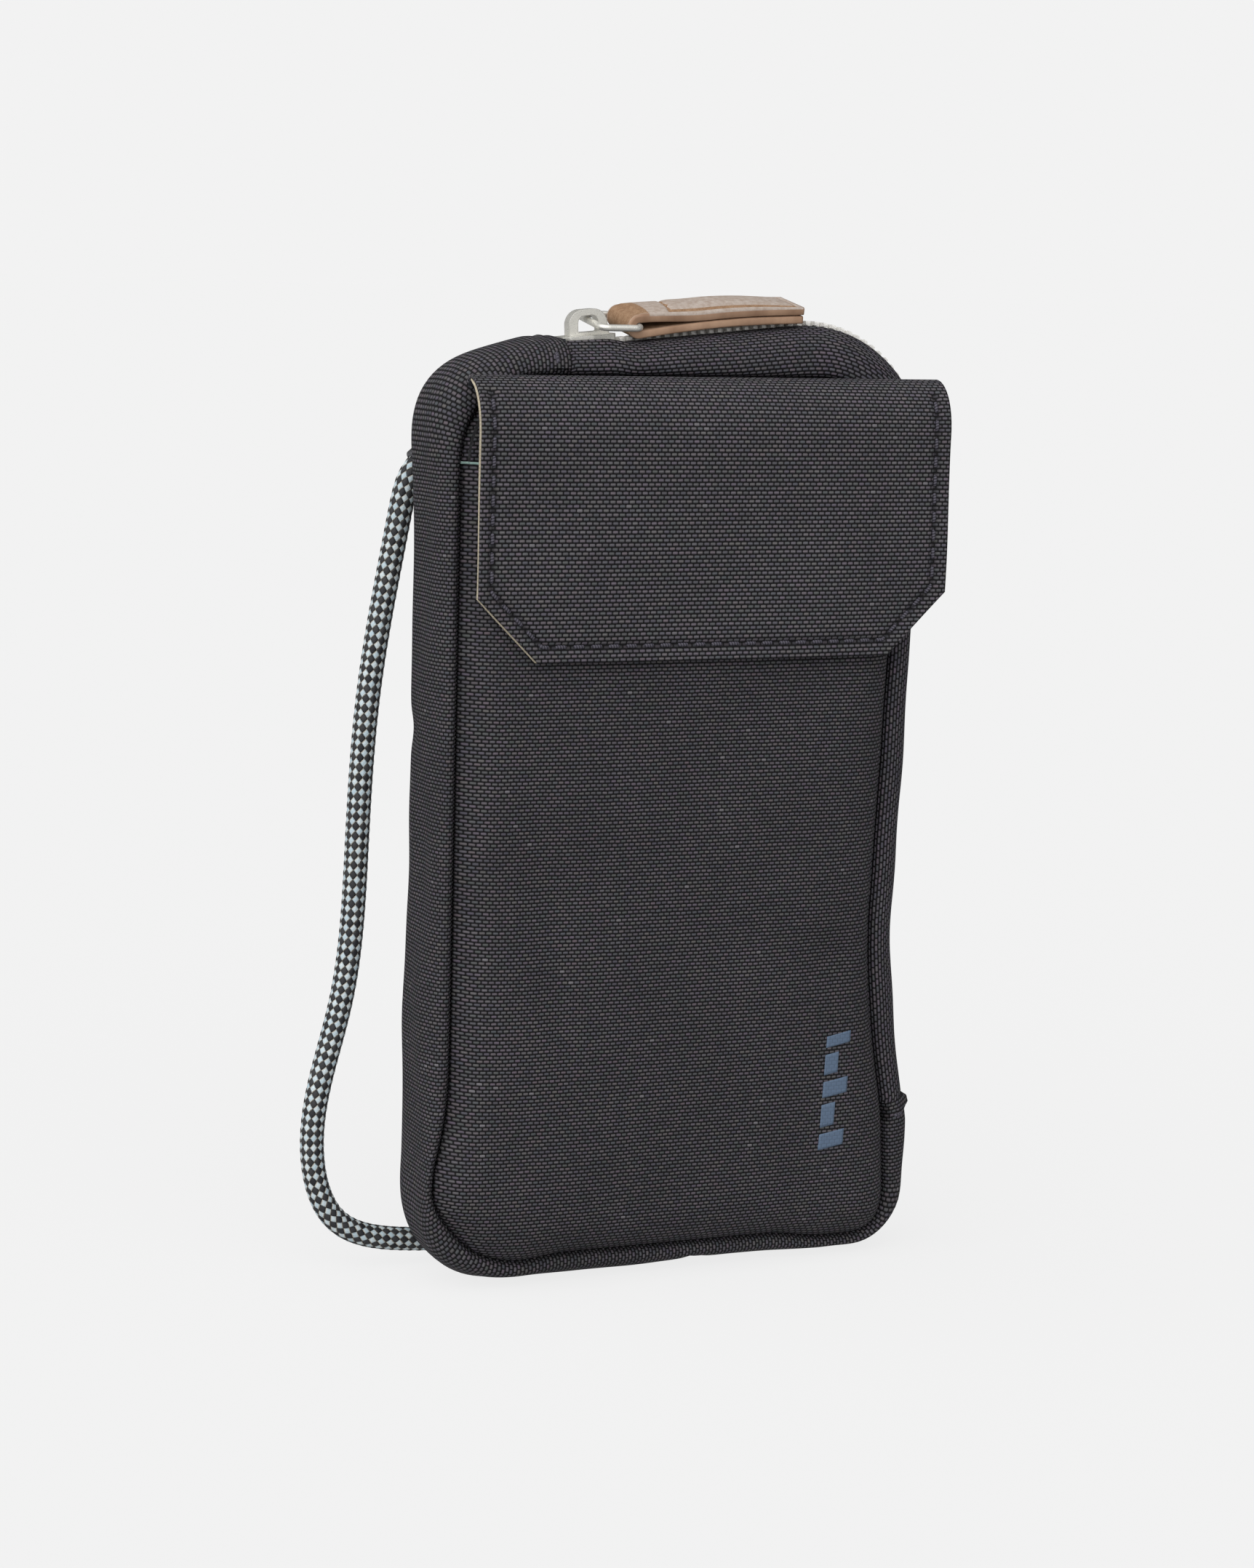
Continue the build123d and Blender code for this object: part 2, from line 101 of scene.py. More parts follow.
# ---- Outlines taken from the frame ---------------------------------------------------------------
def smoothstep(low, high, value):
    share = np.clip((value - low) / (high - low), 0, 1)
    return share * share * (3 - 2 * share)


def resample(points, step, closed=False):
    """A polyline with evenly spaced points."""
    if closed:
        points = np.vstack([points, points[:1]])
    lengths = lengths_along(points)
    count = max(2, int(round(lengths[-1] / step)))
    stations = np.linspace(0, lengths[-1], count + 1)
    if closed:
        stations = stations[:-1]
    return np.column_stack([np.interp(stations, lengths, column) for column in points.T])


def unit(vectors):
    """Each row at length one."""
    return vectors / np.linalg.norm(vectors, axis=1, keepdims=True)


def lengths_along(points):
    """Distance along a polyline to each of its points."""
    return np.concatenate([[0], np.cumsum(np.linalg.norm(np.diff(points, axis=0), axis=1))])


def box_of(node):
    """The low and high corners of a node's box, in millimetres."""
    return [np.array(corner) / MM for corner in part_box(node)]


def blur(values, width, closed=True):
    """A running mean over a closed or open row of values."""
    kernel = np.hanning(width + 2)[1:-1]
    kernel /= kernel.sum()
    pad = width // 2
    ends = "wrap" if closed else "edge"
    rows = values if values.ndim == 2 else values[:, None]
    padded = np.pad(rows, ((pad, pad), (0, 0)), mode=ends)
    smooth = np.column_stack([np.convolve(column, kernel, "valid") for column in padded.T])
    return smooth if values.ndim == 2 else smooth[:, 0]


def seam_outline():
    """The outline of the front panel as (x, z), anticlockwise seen from the front."""
    points = np.array([vertex.co for vertex in NODES["front_panel"].data.vertices]) / MM
    face = points[points[:, 1] < points[:, 1].min() + 0.02][:, [0, 2]]
    face = np.unique(face.round(3), axis=0)
    centre = (face.min(0) + face.max(0)) / 2
    order = np.argsort(np.arctan2(face[:, 1] - centre[1], face[:, 0] - centre[0]))
    return blur(resample(face[order], OUTLINE_STEP, closed=True), 5)


def outward(outline):
    """Unit normals that point out of a closed anticlockwise outline."""
    along = unit(np.roll(outline, -1, 0) - np.roll(outline, 1, 0))
    return np.column_stack([along[:, 1], -along[:, 0]])


def rise_of(node, depth):
    """How far a node's outside stands off the seam outline at one depth; nan where it isn't there."""
    tree = BVHTree.FromObject(NODES[node], bpy.context.evaluated_depsgraph_get())
    reach = 25.0
    rises = np.full(len(SEAM), np.nan)
    for i, (point, normal) in enumerate(zip(SEAM, SEAM_OUT)):
        x, z = point + normal * reach
        direction = Vector((-normal[0], 0, -normal[1]))
        hit = tree.ray_cast(Vector((x, depth, z)) * MM, direction, (reach + 5) * MM)
        if hit[0] is not None:
            rises[i] = reach - hit[3] / MM
    return rises


def run_of(rises):
    """The unbroken run of outline points where a rise is known, in order."""
    known = ~np.isnan(rises)
    start = int(np.where(known & ~np.roll(known, 1))[0][0])
    order = (np.arange(len(rises)) + start) % len(rises)
    return order[: int(known.sum())]


def distance_to(points, line):
    """Distance from each (x, z) point to an open polyline."""
    starts, ends = line[:-1], line[1:]
    runs = ends - starts
    squares = (runs ** 2).sum(1)
    nearest = np.empty(len(points))
    for at in range(0, len(points), 2000):
        part = points[at:at + 2000]
        offset = part[:, None] - starts[None]
        share = np.clip((offset * runs).sum(2) / squares, 0, 1)
        gap = offset - share[..., None] * runs
        nearest[at:at + 2000] = np.sqrt((gap ** 2).sum(2).min(1))
    return nearest


def waves(points, seed, scale, count=14):
    """A smooth random field with unit spread, made of a few sine waves."""
    random = np.random.default_rng(seed)
    total = np.zeros(len(points))
    for _ in range(count):
        angle = random.uniform(0, 2 * math.pi)
        period = scale * random.uniform(0.6, 1.9)
        direction = np.array([math.cos(angle), math.sin(angle)]) * 2 * math.pi / period
        total += np.sin(points[:, :2] @ direction + random.uniform(0, 2 * math.pi))
    return total / math.sqrt(count / 2)


def dent(points, x, z, across, up, tilt=0.0):
    """A soft round or long bump of height one."""
    angle = math.radians(tilt)
    dx, dz = points[:, 0] - x, points[:, 1] - z
    a = dx * math.cos(angle) + dz * math.sin(angle)
    b = dz * math.cos(angle) - dx * math.sin(angle)
    return np.exp(-((a / across) ** 2) - (b / up) ** 2)


SEAM = seam_outline()
SEAM_OUT = unit(blur(outward(SEAM), 9))
MID_X = (SEAM[:, 0].min() + SEAM[:, 0].max()) / 2


def slack_seam():
    """The seam as it lies in soft cloth: it bellies out low on the left and sinks at the lower right."""
    x, z = SEAM.T
    belly = np.exp(-((z - 21) / 13) ** 2) * smoothstep(-30, -46, x)
    sink = smoothstep(22, 36, x) * smoothstep(14, 8, z)
    dip = smoothstep(-24, -36, x) * smoothstep(14, 8, z)
    return SEAM + np.column_stack([-3.3 * belly, -1.5 * sink - 1.0 * dip])


SEAM_LINE = slack_seam()


# ---- Mesh building -------------------------------------------------------------------------------
def add_object(name, data):
    made = bpy.data.objects.new(name, data)
    bpy.context.scene.collection.objects.link(made)
    return made


def finish_mesh(name, points, faces, cloth, material, body="pouch"):
    """A smooth mesh object in metres, with its cloth coordinates on the face corners."""
    mesh = bpy.data.meshes.new(name)
    mesh.from_pydata((np.asarray(points) * MM).tolist(), [], [list(face) for face in faces])
    corners = np.concatenate([np.asarray(c, float).reshape(-1, 3) for c in cloth])
    attribute = mesh.attributes.new("cloth", "FLOAT_VECTOR", "CORNER")
    attribute.data.foreach_set("vector", corners.astype(np.float32).ravel())
    mesh.materials.append(material)
    mesh.polygons.foreach_set("use_smooth", [True] * len(mesh.polygons))
    mesh.update()
    piece = add_object(name, mesh)
    if body:
        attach(piece, body)
    return piece


def as_cloth(columns):
    """Cloth coordinates with a third, zero, column if they have only two."""
    if columns.shape[-1] == 3:
        return columns
    return np.concatenate([columns, np.zeros(columns.shape[:-1] + (1,))], -1)


def grid_faces(rows, columns, closed=False):
    """Quads of a grid as indices of its points, and as indices of its unwrapped points."""
    index = np.arange(rows * columns).reshape(rows, columns)
    if closed:
        index = np.hstack([index, index[:, :1]])
    flat = np.arange(rows * index.shape[1]).reshape(rows, -1)
    corner = [(slice(None, -1), slice(None, -1)), (slice(1, None), slice(None, -1)),
              (slice(1, None), slice(1, None)), (slice(None, -1), slice(1, None))]
    faces = np.stack([index[c] for c in corner], -1).reshape(-1, 4)
    unwrapped = np.stack([flat[c] for c in corner], -1).reshape(-1, 4)
    return faces, unwrapped


def sheet(name, points, cloth, material, body="pouch", closed=False, flip=False, caps=False):
    """A grid of points as a mesh. A closed grid joins its last column to its first."""
    faces, unwrapped = grid_faces(*points.shape[:2], closed)
    corners = as_cloth(cloth).reshape(-1, 3)[unwrapped]
    if flip:
        faces, corners = faces[:, ::-1], corners[:, ::-1]
    faces, corners = [tuple(face) for face in faces], list(corners)
    if caps:
        columns = points.shape[1]
        last = (points.shape[0] - 1) * columns
        ends = [tuple(range(columns)), tuple(last + i for i in reversed(range(columns)))]
        flat = as_cloth(cloth)
        values = [flat[0, :columns], flat[-1, :columns][::-1]]
        for face, value in zip(ends, values):
            faces.append(face[::-1] if flip else face)
            corners.append(value[::-1] if flip else value)
    return finish_mesh(name, points.reshape(-1, 3), faces, corners, material, body)


def thicken(piece, thickness):
    """Give a sheet its thickness, inward from the side it was laid out on."""
    solid = piece.modifiers.new("Thickness", "SOLIDIFY")
    solid.thickness = thickness * MM
    solid.offset = -1.0
    solid.use_even_offset = False
    return piece


def panel(name, edge, height, material, side=-1, spine=(45, 130)):
    """A sheet that fills an outline, with rings of points from its edge to a spine in its middle."""
    steps = [0, 0.35, 0.8, 1.3, 2.0, 2.8, 3.8, 5.0]
    shares = np.concatenate([np.array(steps) / 50, np.linspace(6.2, 50, 34) / 50])
    spine_z = np.round(np.clip(edge[:, 1], *spine) / SPINE_STEP) * SPINE_STEP
    middle = np.column_stack([np.full(len(edge), MID_X), spine_z])
    flat = edge[None] * (1 - shares[:, None, None]) + middle[None] * shares[:, None, None]
    rows, columns = flat.shape[:2]
    plane = flat.reshape(-1, 2)
    points = np.column_stack([plane[:, 0], height(plane), plane[:, 1]]).reshape(rows, columns, 3)
    cloth = np.concatenate([flat, flat[:, :1]], 1)
    piece = sheet(name, points, cloth, material, closed=True, flip=side < 0)
    work = bmesh.new()
    work.from_mesh(piece.data)
    bmesh.ops.remove_doubles(work, verts=work.verts, dist=0.01 * MM)
    work.to_mesh(piece.data)
    work.free()
    return thicken(piece, PANEL_CLOTH)


def swept(path, across, section):
    """Points of a section swept along a path whose turns all lie square to one direction."""
    along = unit(np.gradient(path, axis=0))
    across = np.asarray(across, float)
    normal = np.cross(across, along)
    return path[:, None] + across * section[None, :, :1] + normal[:, None] * section[None, :, 1:2]


def rounded_section(width, thickness, corner, flats=18, turns=4):
    """A rounded rectangle as (across, out) points, starting on its outer face."""
    half_w, half_t = width / 2 - corner, thickness / 2 - corner

    def turn(cx, cy, start):
        angles = np.radians(np.linspace(start, start - 90, turns + 1)[1:])
        return [(cx + corner * math.cos(angle), cy + corner * math.sin(angle)) for angle in angles]

    points = [(a, thickness / 2) for a in np.linspace(-half_w, half_w, flats)]
    points += turn(half_w, half_t, 90) + turn(half_w, -half_t, 0)
    points += [(a, -thickness / 2) for a in np.linspace(half_w, -half_w, flats)[1:]]
    points += turn(-half_w, -half_t, 270) + turn(-half_w, half_t, 180)
    return np.array(points[:-1])


def stitches(name, path, normals, material, body="pouch", pitch=STITCH_PITCH, lift=0.05):
    """A row of thread stitches laid along a path on a surface."""
    lengths = lengths_along(path)
    count = int(lengths[-1] / pitch)
    start = (lengths[-1] - count * pitch) / 2
    profile = np.linspace(-1, 1, 9)
    around = np.linspace(0, 2 * math.pi, 9)[:-1]
    points, faces, corners = [], [], []
    for i in range(count):
        centre = start + (i + 0.5) * pitch
        stations = centre + profile * STITCH_LENGTH / 2
        line = np.column_stack([np.interp(stations, lengths, c) for c in path.T])
        out = np.column_stack([np.interp(stations, lengths, c) for c in normals.T])
        out = unit(out)
        line += out * (lift + 0.16 - 0.5 * profile[:, None] ** 4)
        radius = THREAD * np.sqrt(np.clip(1.02 - profile ** 6, 0, 1))
        along = np.gradient(line, axis=0)
        side = unit(np.cross(along, out))
        ring = side[:, None] * np.cos(around)[None, :, None] + out[:, None] * np.sin(around)[None, :, None]
        tube = line[:, None] + ring * radius[:, None, None]
        base = sum(len(p) for p in points)
        quads, unwrapped = grid_faces(len(profile), len(around), True)
        columns = np.linspace(0, 1, len(around) + 1)
        cloth = np.stack(np.meshgrid(columns, stations, indexing="xy"), -1)
        points.append(tube.reshape(-1, 3))
        faces += [tuple(q) for q in quads + base]
        corners += list(as_cloth(cloth).reshape(-1, 3)[unwrapped])
    return finish_mesh(name, np.vstack(points), faces, corners, material, body)


# ---- Materials -----------------------------------------------------------------------------------
def srgb(*values):
    """A display colour, 0 to 255, as the linear colour a shader takes."""
    linear = [v / 255 / 12.92 if v < 10.3 else ((v / 255 + 0.055) / 1.055) ** 2.4 for v in values]
    return (*linear, 1.0)


class Graph:
    """A material with short ways to add nodes to it."""

    def __init__(self, name, roughness=0.8, metallic=0.0, specular=0.3):
        self.material = bpy.data.materials.new(name)
        self.material.use_nodes = True
        self.tree = self.material.node_tree
        self.shader = self.tree.nodes["Principled BSDF"]
        self.set("Roughness", roughness)
        self.set("Metallic", metallic)
        self.set("Specular IOR Level", specular)

    def plug(self, socket, value):
        if isinstance(value, bpy.types.NodeSocket):
            self.tree.links.new(value, socket)
        elif value is not None:
            socket.default_value = value

    def set(self, name, value):
        self.plug(self.shader.inputs[name], value)

    def node(self, kind, **inputs):
        made = self.tree.nodes.new(kind)
        for name, value in inputs.items():
            self.plug(made.inputs[name.replace("_", " ")], value)
        return made.outputs[0]

    def math(self, operation, *values):
        made = self.tree.nodes.new("ShaderNodeMath")
        made.operation = operation
        for socket, value in zip(made.inputs, values):
            self.plug(socket, value)
        return made.outputs[0]

    def plus(self, first, second):
        return self.math("ADD", first, second)

    def minus(self, first, second):
        return self.math("SUBTRACT", first, second)

    def times(self, first, second):
        return self.math("MULTIPLY", first, second)

    def off_middle(self, value):
        """How far a value is from the middle of its whole-number cell."""
        return self.math("ABSOLUTE", self.minus(self.math("FRACT", value), 0.5))

    def cloth(self):
        made = self.tree.nodes.new("ShaderNodeAttribute")
        made.attribute_name = "cloth"
        return made.outputs["Vector"]

    def parts(self, vector):
        made = self.tree.nodes.new("ShaderNodeSeparateXYZ")
        self.plug(made.inputs[0], vector)
        return made.outputs[0], made.outputs[1], made.outputs[2]

    def place(self):
        """Position on the object in millimetres."""
        made = self.tree.nodes.new("ShaderNodeTexCoord")
        scale = self.tree.nodes.new("ShaderNodeVectorMath")
        scale.operation = "SCALE"
        self.plug(scale.inputs[0], made.outputs["Object"])
        scale.inputs["Scale"].default_value = 1 / MM
        return scale.outputs[0]

    def noise(self, vector, scale, detail=2.0):
        made = self.tree.nodes.new("ShaderNodeTexNoise")
        self.plug(made.inputs["Vector"], vector)
        made.inputs["Scale"].default_value = scale
        made.inputs["Detail"].default_value = detail
        return made.outputs["Fac"]

    def random(self, x, y, colour=False):
        """A random value, or colour, for each whole-number cell."""
        cell = self.node("ShaderNodeCombineXYZ", X=x, Y=y)
        made = self.tree.nodes.new("ShaderNodeTexWhiteNoise")
        made.noise_dimensions = "3D"
        self.plug(made.inputs["Vector"], cell)
        return made.outputs["Color" if colour else "Value"]

    def mix(self, share, first, second):
        made = self.tree.nodes.new("ShaderNodeMix")
        made.data_type = "RGBA"
        self.plug(made.inputs[0], share)
        self.plug(made.inputs[6], first)
        self.plug(made.inputs[7], second)
        return made.outputs[2]

    def ramp(self, value, low, high, to_low=0.0, to_high=1.0):
        made = self.tree.nodes.new("ShaderNodeMapRange")
        for name, number in (("Value", value), ("From Min", low), ("From Max", high),
                             ("To Min", to_low), ("To Max", to_high)):
            self.plug(made.inputs[name], number)
        return made.outputs[0]

    def bump(self, height, depth, normal=None):
        """Bump of a given depth in millimetres."""
        made = self.tree.nodes.new("ShaderNodeBump")
        if normal is not None:
            self.plug(made.inputs["Normal"], normal)
        made.inputs["Strength"].default_value = 1.0
        made.inputs["Distance"].default_value = depth * MM
        self.plug(made.inputs["Height"], height)
        self.set("Normal", made.outputs[0])


def woven(name, dark, light, pitch=WEAVE, shift=0.5, wander=0.12, relief=0.2, slubs=0.003):
    """Cloth of two yarns: light dashes in staggered rows over a dark ground."""
    g = Graph(name, roughness=0.78, specular=0.25)
    x, y, shade = g.parts(g.cloth())
    y = g.plus(y, g.ramp(g.noise(g.cloth(), 0.35), 0, 1, -wander, wander))
    v = g.math("DIVIDE", y, pitch[1])
    row = g.math("FLOOR", v)
    u = g.plus(g.math("DIVIDE", x, pitch[0]), g.times(row, shift))
    column = g.math("FLOOR", u)
    across = g.minus(g.math("FRACT", u), 0.5)
    up = g.minus(g.math("FRACT", v), 0.5)
    a = g.math("POWER", g.math("ABSOLUTE", g.math("DIVIDE", across, 0.46)), 6.0)
    b = g.math("POWER", g.math("ABSOLUTE", g.math("DIVIDE", up, 0.43)), 2.0)
    dash = g.math("MAXIMUM", g.minus(1.0, g.plus(a, b)), 0.0)
    chance = g.random(column, row)
    light_share = g.times(dash, g.ramp(chance, 0, 1, 0.72, 1.0))
    soft = g.mix(0.02, light, g.random(column, row, colour=True))
    cloudy = g.ramp(g.noise(g.place(), 0.05, 3.0), 0.3, 0.7, 0.9, 1.1)
    ground = g.mix(g.times(light_share, cloudy), dark, soft)
    slub = g.math("GREATER_THAN", chance, 1 - slubs)
    colour = g.mix(g.times(slub, dash), ground, srgb(118, 116, 120))
    # Painted shade: the third cloth value, the flap's stitch furrow, darkens the colour toward the dark
    # yarn
    g.set("Base Color", g.mix(g.times(shade, 0.75), colour, dark))
    g.bump(dash, relief)
    return g.material


def plain_cloth(name, first, second, scale, relief=0.06):
    """Close cloth, felt or foam: two tones mixed by fine noise."""
    g = Graph(name, roughness=0.85, specular=0.2)
    fine = g.noise(g.place(), scale, 4.0)
    g.set("Base Color", g.mix(g.ramp(fine, 0.3, 0.7), first, second))
    g.bump(fine, relief)
    return g.material


def metal(name, colour, roughness, metallic=1.0, edge=0.3):
    """Metal whose edges are rounded over, with painted shade that makes them darker than its faces. The
    teeth are set as not metallic, and the slider as partly so, only to look as pale as bright metal under
    this dome."""
    g = Graph(name, roughness=roughness, metallic=metallic)
    fine = g.noise(g.place(), 2.5, 5.0)
    rounded = g.node("ShaderNodeBevel", Radius=edge * MM)
    flat = g.tree.nodes.new("ShaderNodeNewGeometry").outputs["Normal"]
    turned = g.tree.nodes.new("ShaderNodeVectorMath")
    turned.operation = "DOT_PRODUCT"
    g.plug(turned.inputs[0], rounded)
    g.plug(turned.inputs[1], flat)
    face = g.mix(g.ramp(fine, 0.3, 0.7), colour, tuple(c * 0.82 for c in colour[:3]) + (1,))
    # Painted shade: the rounded edges are darkened in the base colour, by how far the bevelled normal
    # turns away
    shaded_rim = tuple(c * 0.45 for c in colour[:3]) + (1,)
    g.set("Base Color", g.mix(g.ramp(turned.outputs["Value"], 0.8, 0.97), shaded_rim, face))
    g.set("Roughness", g.ramp(fine, 0.25, 0.75, roughness * 0.8, roughness * 1.25))
    g.bump(fine, 0.012, normal=rounded)
    return g.material


def thread(name, first, second):
    """Twisted sewing thread."""
    g = Graph(name, roughness=0.6, specular=0.3)
    x, y, _ = g.parts(g.cloth())
    twist = g.math("SINE", g.plus(g.times(x, 6.283), g.times(y, 11.0)))
    g.set("Base Color", g.mix(g.ramp(twist, -1, 1), first, second))
    g.bump(twist, 0.03)
    return g.material


def braid():
    """Round braid: white and dark lozenges, each a dome of parallel threads."""
    g = Graph("braid", roughness=0.55, specular=0.35)
    x, y, _ = g.parts(g.cloth())
    a, b = g.plus(x, y), g.minus(x, y)
    cell_a, cell_b = g.math("FLOOR", a), g.math("FLOOR", b)
    parity = g.math("MODULO", g.math("ABSOLUTE", g.plus(cell_a, cell_b)), 2.0)
    near_a, near_b = g.off_middle(a), g.off_middle(b)
    edge = g.math("MAXIMUM", near_a, near_b)
    shaded_rim = g.ramp(edge, 0.36, 0.5)
    grain = g.math("SINE", g.times(g.math("FRACT", b), 31.4))
    shade = g.random(cell_a, cell_b)
    white = g.mix(shade, srgb(214, 226, 230), srgb(188, 208, 218))
    # Painted highlight: the white lozenges are tinted warm toward their edges
    highlit_white = g.mix(g.ramp(near_a, 0.25, 0.5), white, srgb(208, 196, 176))
    black = g.mix(shade, srgb(34, 35, 40), srgb(58, 58, 60))
    colour = g.mix(parity, highlit_white, black)
    # Painted shade in the crevices round each lozenge, where the strands dive under; the same rim mask
    # also sinks the relief
    g.set("Base Color", g.mix(g.times(shaded_rim, 0.8), colour, srgb(40, 38, 38)))
    g.bump(g.minus(g.times(grain, 0.1), shaded_rim), 0.12)
    return g.material


def leather():
    """Suede top with a grey panel and sealed, smooth cut edges. The third cloth value says which."""
    g = Graph("leather", roughness=0.7, specular=0.25)
    x, y, kind = g.parts(g.cloth())
    place = g.place()
    mottle = g.noise(place, 0.9, 4.0)
    nap = g.noise(place, 5.0, 3.0)
    suede = g.mix(g.ramp(mottle, 0.3, 0.7), srgb(150, 118, 90), srgb(178, 146, 116))
    suede = g.mix(g.ramp(nap, 0.35, 0.75, 0.0, 0.6), suede, srgb(104, 74, 52))
    grey = g.mix(g.ramp(mottle, 0.3, 0.72), srgb(196, 185, 176), srgb(168, 151, 138))
    grey = g.mix(g.ramp(nap, 0.4, 0.75, 0.0, 0.35), grey, srgb(150, 122, 104))
    streak = g.noise(g.node("ShaderNodeCombineXYZ", X=g.times(y, 0.12), Y=x), 1.6, 3.0)
    sealed = g.mix(g.ramp(streak, 0.3, 0.7), srgb(184, 150, 124), srgb(146, 114, 91))
    body = g.mix(g.ramp(kind, 0.35, 0.65), suede, grey)
    g.set("Base Color", g.mix(g.ramp(kind, 1.35, 1.65), body, sealed))
    g.set("Roughness", g.ramp(kind, 1.3, 1.7, 0.86, 0.42))
    g.bump(nap, 0.05)
    return g.material


def printed(cloth_dark, ink):
    """Ink film that takes the weave under it."""
    g = Graph("ink", roughness=0.6, specular=0.3)
    x, y, _ = g.parts(g.cloth())
    row = g.math("FLOOR", g.math("DIVIDE", y, WEAVE[1]))
    u = g.plus(g.math("DIVIDE", x, WEAVE[0]), g.times(row, 0.5))
    pit = g.math("MAXIMUM", g.off_middle(u), g.off_middle(g.math("DIVIDE", y, WEAVE[1])))
    g.set("Base Color", g.mix(g.ramp(pit, 0.4, 0.5, 0.0, 0.35), ink, cloth_dark))
    g.bump(g.times(pit, -1.0), 0.08)
    return g.material


CLOTH = woven("melange_cloth", srgb(8, 7, 9), srgb(97, 94, 100))
FLAP_CLOTH = woven("flap_cloth", srgb(11, 10, 12), srgb(108, 105, 111), (1.4, 0.86), wander=0.05)
TAPE = woven("zip_tape", srgb(6, 5, 7), srgb(100, 96, 104), TWILL, shift=0.34, slubs=0.0)
RAW_EDGE = plain_cloth("raw_edge", srgb(206, 197, 176), srgb(168, 156, 134), 4.0)
MINT = plain_cloth("mint_edge", srgb(150, 176, 168), srgb(108, 132, 126), 4.0)
LINING = plain_cloth("lining", srgb(58, 59, 64), srgb(40, 41, 45), 3.5)
FOAM = plain_cloth("foam", srgb(70, 70, 72), srgb(48, 48, 50), 1.2, 0.15)
BINDING = plain_cloth("binding", srgb(36, 36, 40), srgb(24, 24, 27), 3.0)
WEBBING = woven("webbing", srgb(18, 18, 20), srgb(70, 70, 76), (0.9, 0.6), relief=0.18, slubs=0.0)
TEETH = metal("zip_metal", srgb(255, 253, 248), 0.3, 0.0, edge=0.05)
NICKEL = metal("slider_metal", srgb(240, 238, 230), 0.3, 0.6)
STEEL = metal("magnet_metal", srgb(150, 150, 154), 0.4)
CAP = metal("cap_metal", srgb(120, 120, 124), 0.36)
THREAD_DARK = thread("dark_thread", srgb(46, 44, 52), srgb(96, 93, 104))
BRAID = braid()
LEATHER_SKIN = leather()
INK = printed(srgb(30, 30, 34), srgb(95, 113, 136))


# ---- Bag sides: gusset and zip tapes -------------------------------------------------------------
def side_profile(shoulder, flat_from=0.0):
    """Half of the side's section, from the middle to the seam, as (depth, share of rise, inset)."""
    flat = [(y, 1.0, 0.0) for y in np.linspace(flat_from, shoulder, 7)[:-1]]
    front = SEAM_Y + 0.5
    turn = []
    for angle in np.radians(np.linspace(0, 90, 15)):
        share = math.cos(angle) ** 0.95
        depth = shoulder + (front - shoulder) * math.sin(angle) ** 1.1
        turn.append((depth, share, -ROLL_RISE * (1 - share)))
    roll = []
    for angle in np.radians(np.linspace(0, 90, 7)[1:]):
        roll.append((front - ROLL_DEPTH * (1 - math.cos(angle)), 0.0, -ROLL_RISE * (1 - math.sin(angle))))
    tuck = [(front - ROLL_DEPTH - 0.3, 0, 0.6), (front - ROLL_DEPTH - 0.6, 0, 1.4)]
    return np.array(flat + turn + roll + tuck)


def side_surface(order, rise, profile, relief):
    """Points of a side band: rows run along the seam outline, columns across the profile."""
    out = SEAM_OUT[order]
    ridge = SEAM[order] + out * rise[:, None]
    share = profile[None, :, 1, None]
    slack = smoothstep(2, -2, profile[:, 0])[None, :, None]
    base = SEAM[order][:, None] * (1 - slack) + SEAM_LINE[order][:, None] * slack
    flat = base * (1 - share) + ridge[:, None] * share
    flat = flat + out[:, None] * (relief - profile[None, :, 2])[..., None]
    depth = np.broadcast_to(profile[None, :, 0], relief.shape)
    return np.stack([flat[..., 0], depth, flat[..., 1]], -1)


def band_cloth(points):
    """Cloth coordinates of a band: distance across it, and along it."""
    across = np.linalg.norm(np.diff(points, axis=1), axis=2)
    across = np.concatenate([np.zeros((len(points), 1)), np.cumsum(across, 1)], 1)
    across -= across.mean(0)[points.shape[1] // 2]
    along = np.arange(len(points)) * OUTLINE_STEP
    return np.stack([across, np.broadcast_to(along[:, None], across.shape)], -1)


def band_waves(along, depth, stretch, seed, scale):
    """Soft unevenness over a side band, as rows along it and columns across it."""
    spread = np.column_stack([np.repeat(along, len(depth)), np.tile(depth * stretch, len(along))])
    return waves(spread, seed, scale).reshape(len(along), -1)


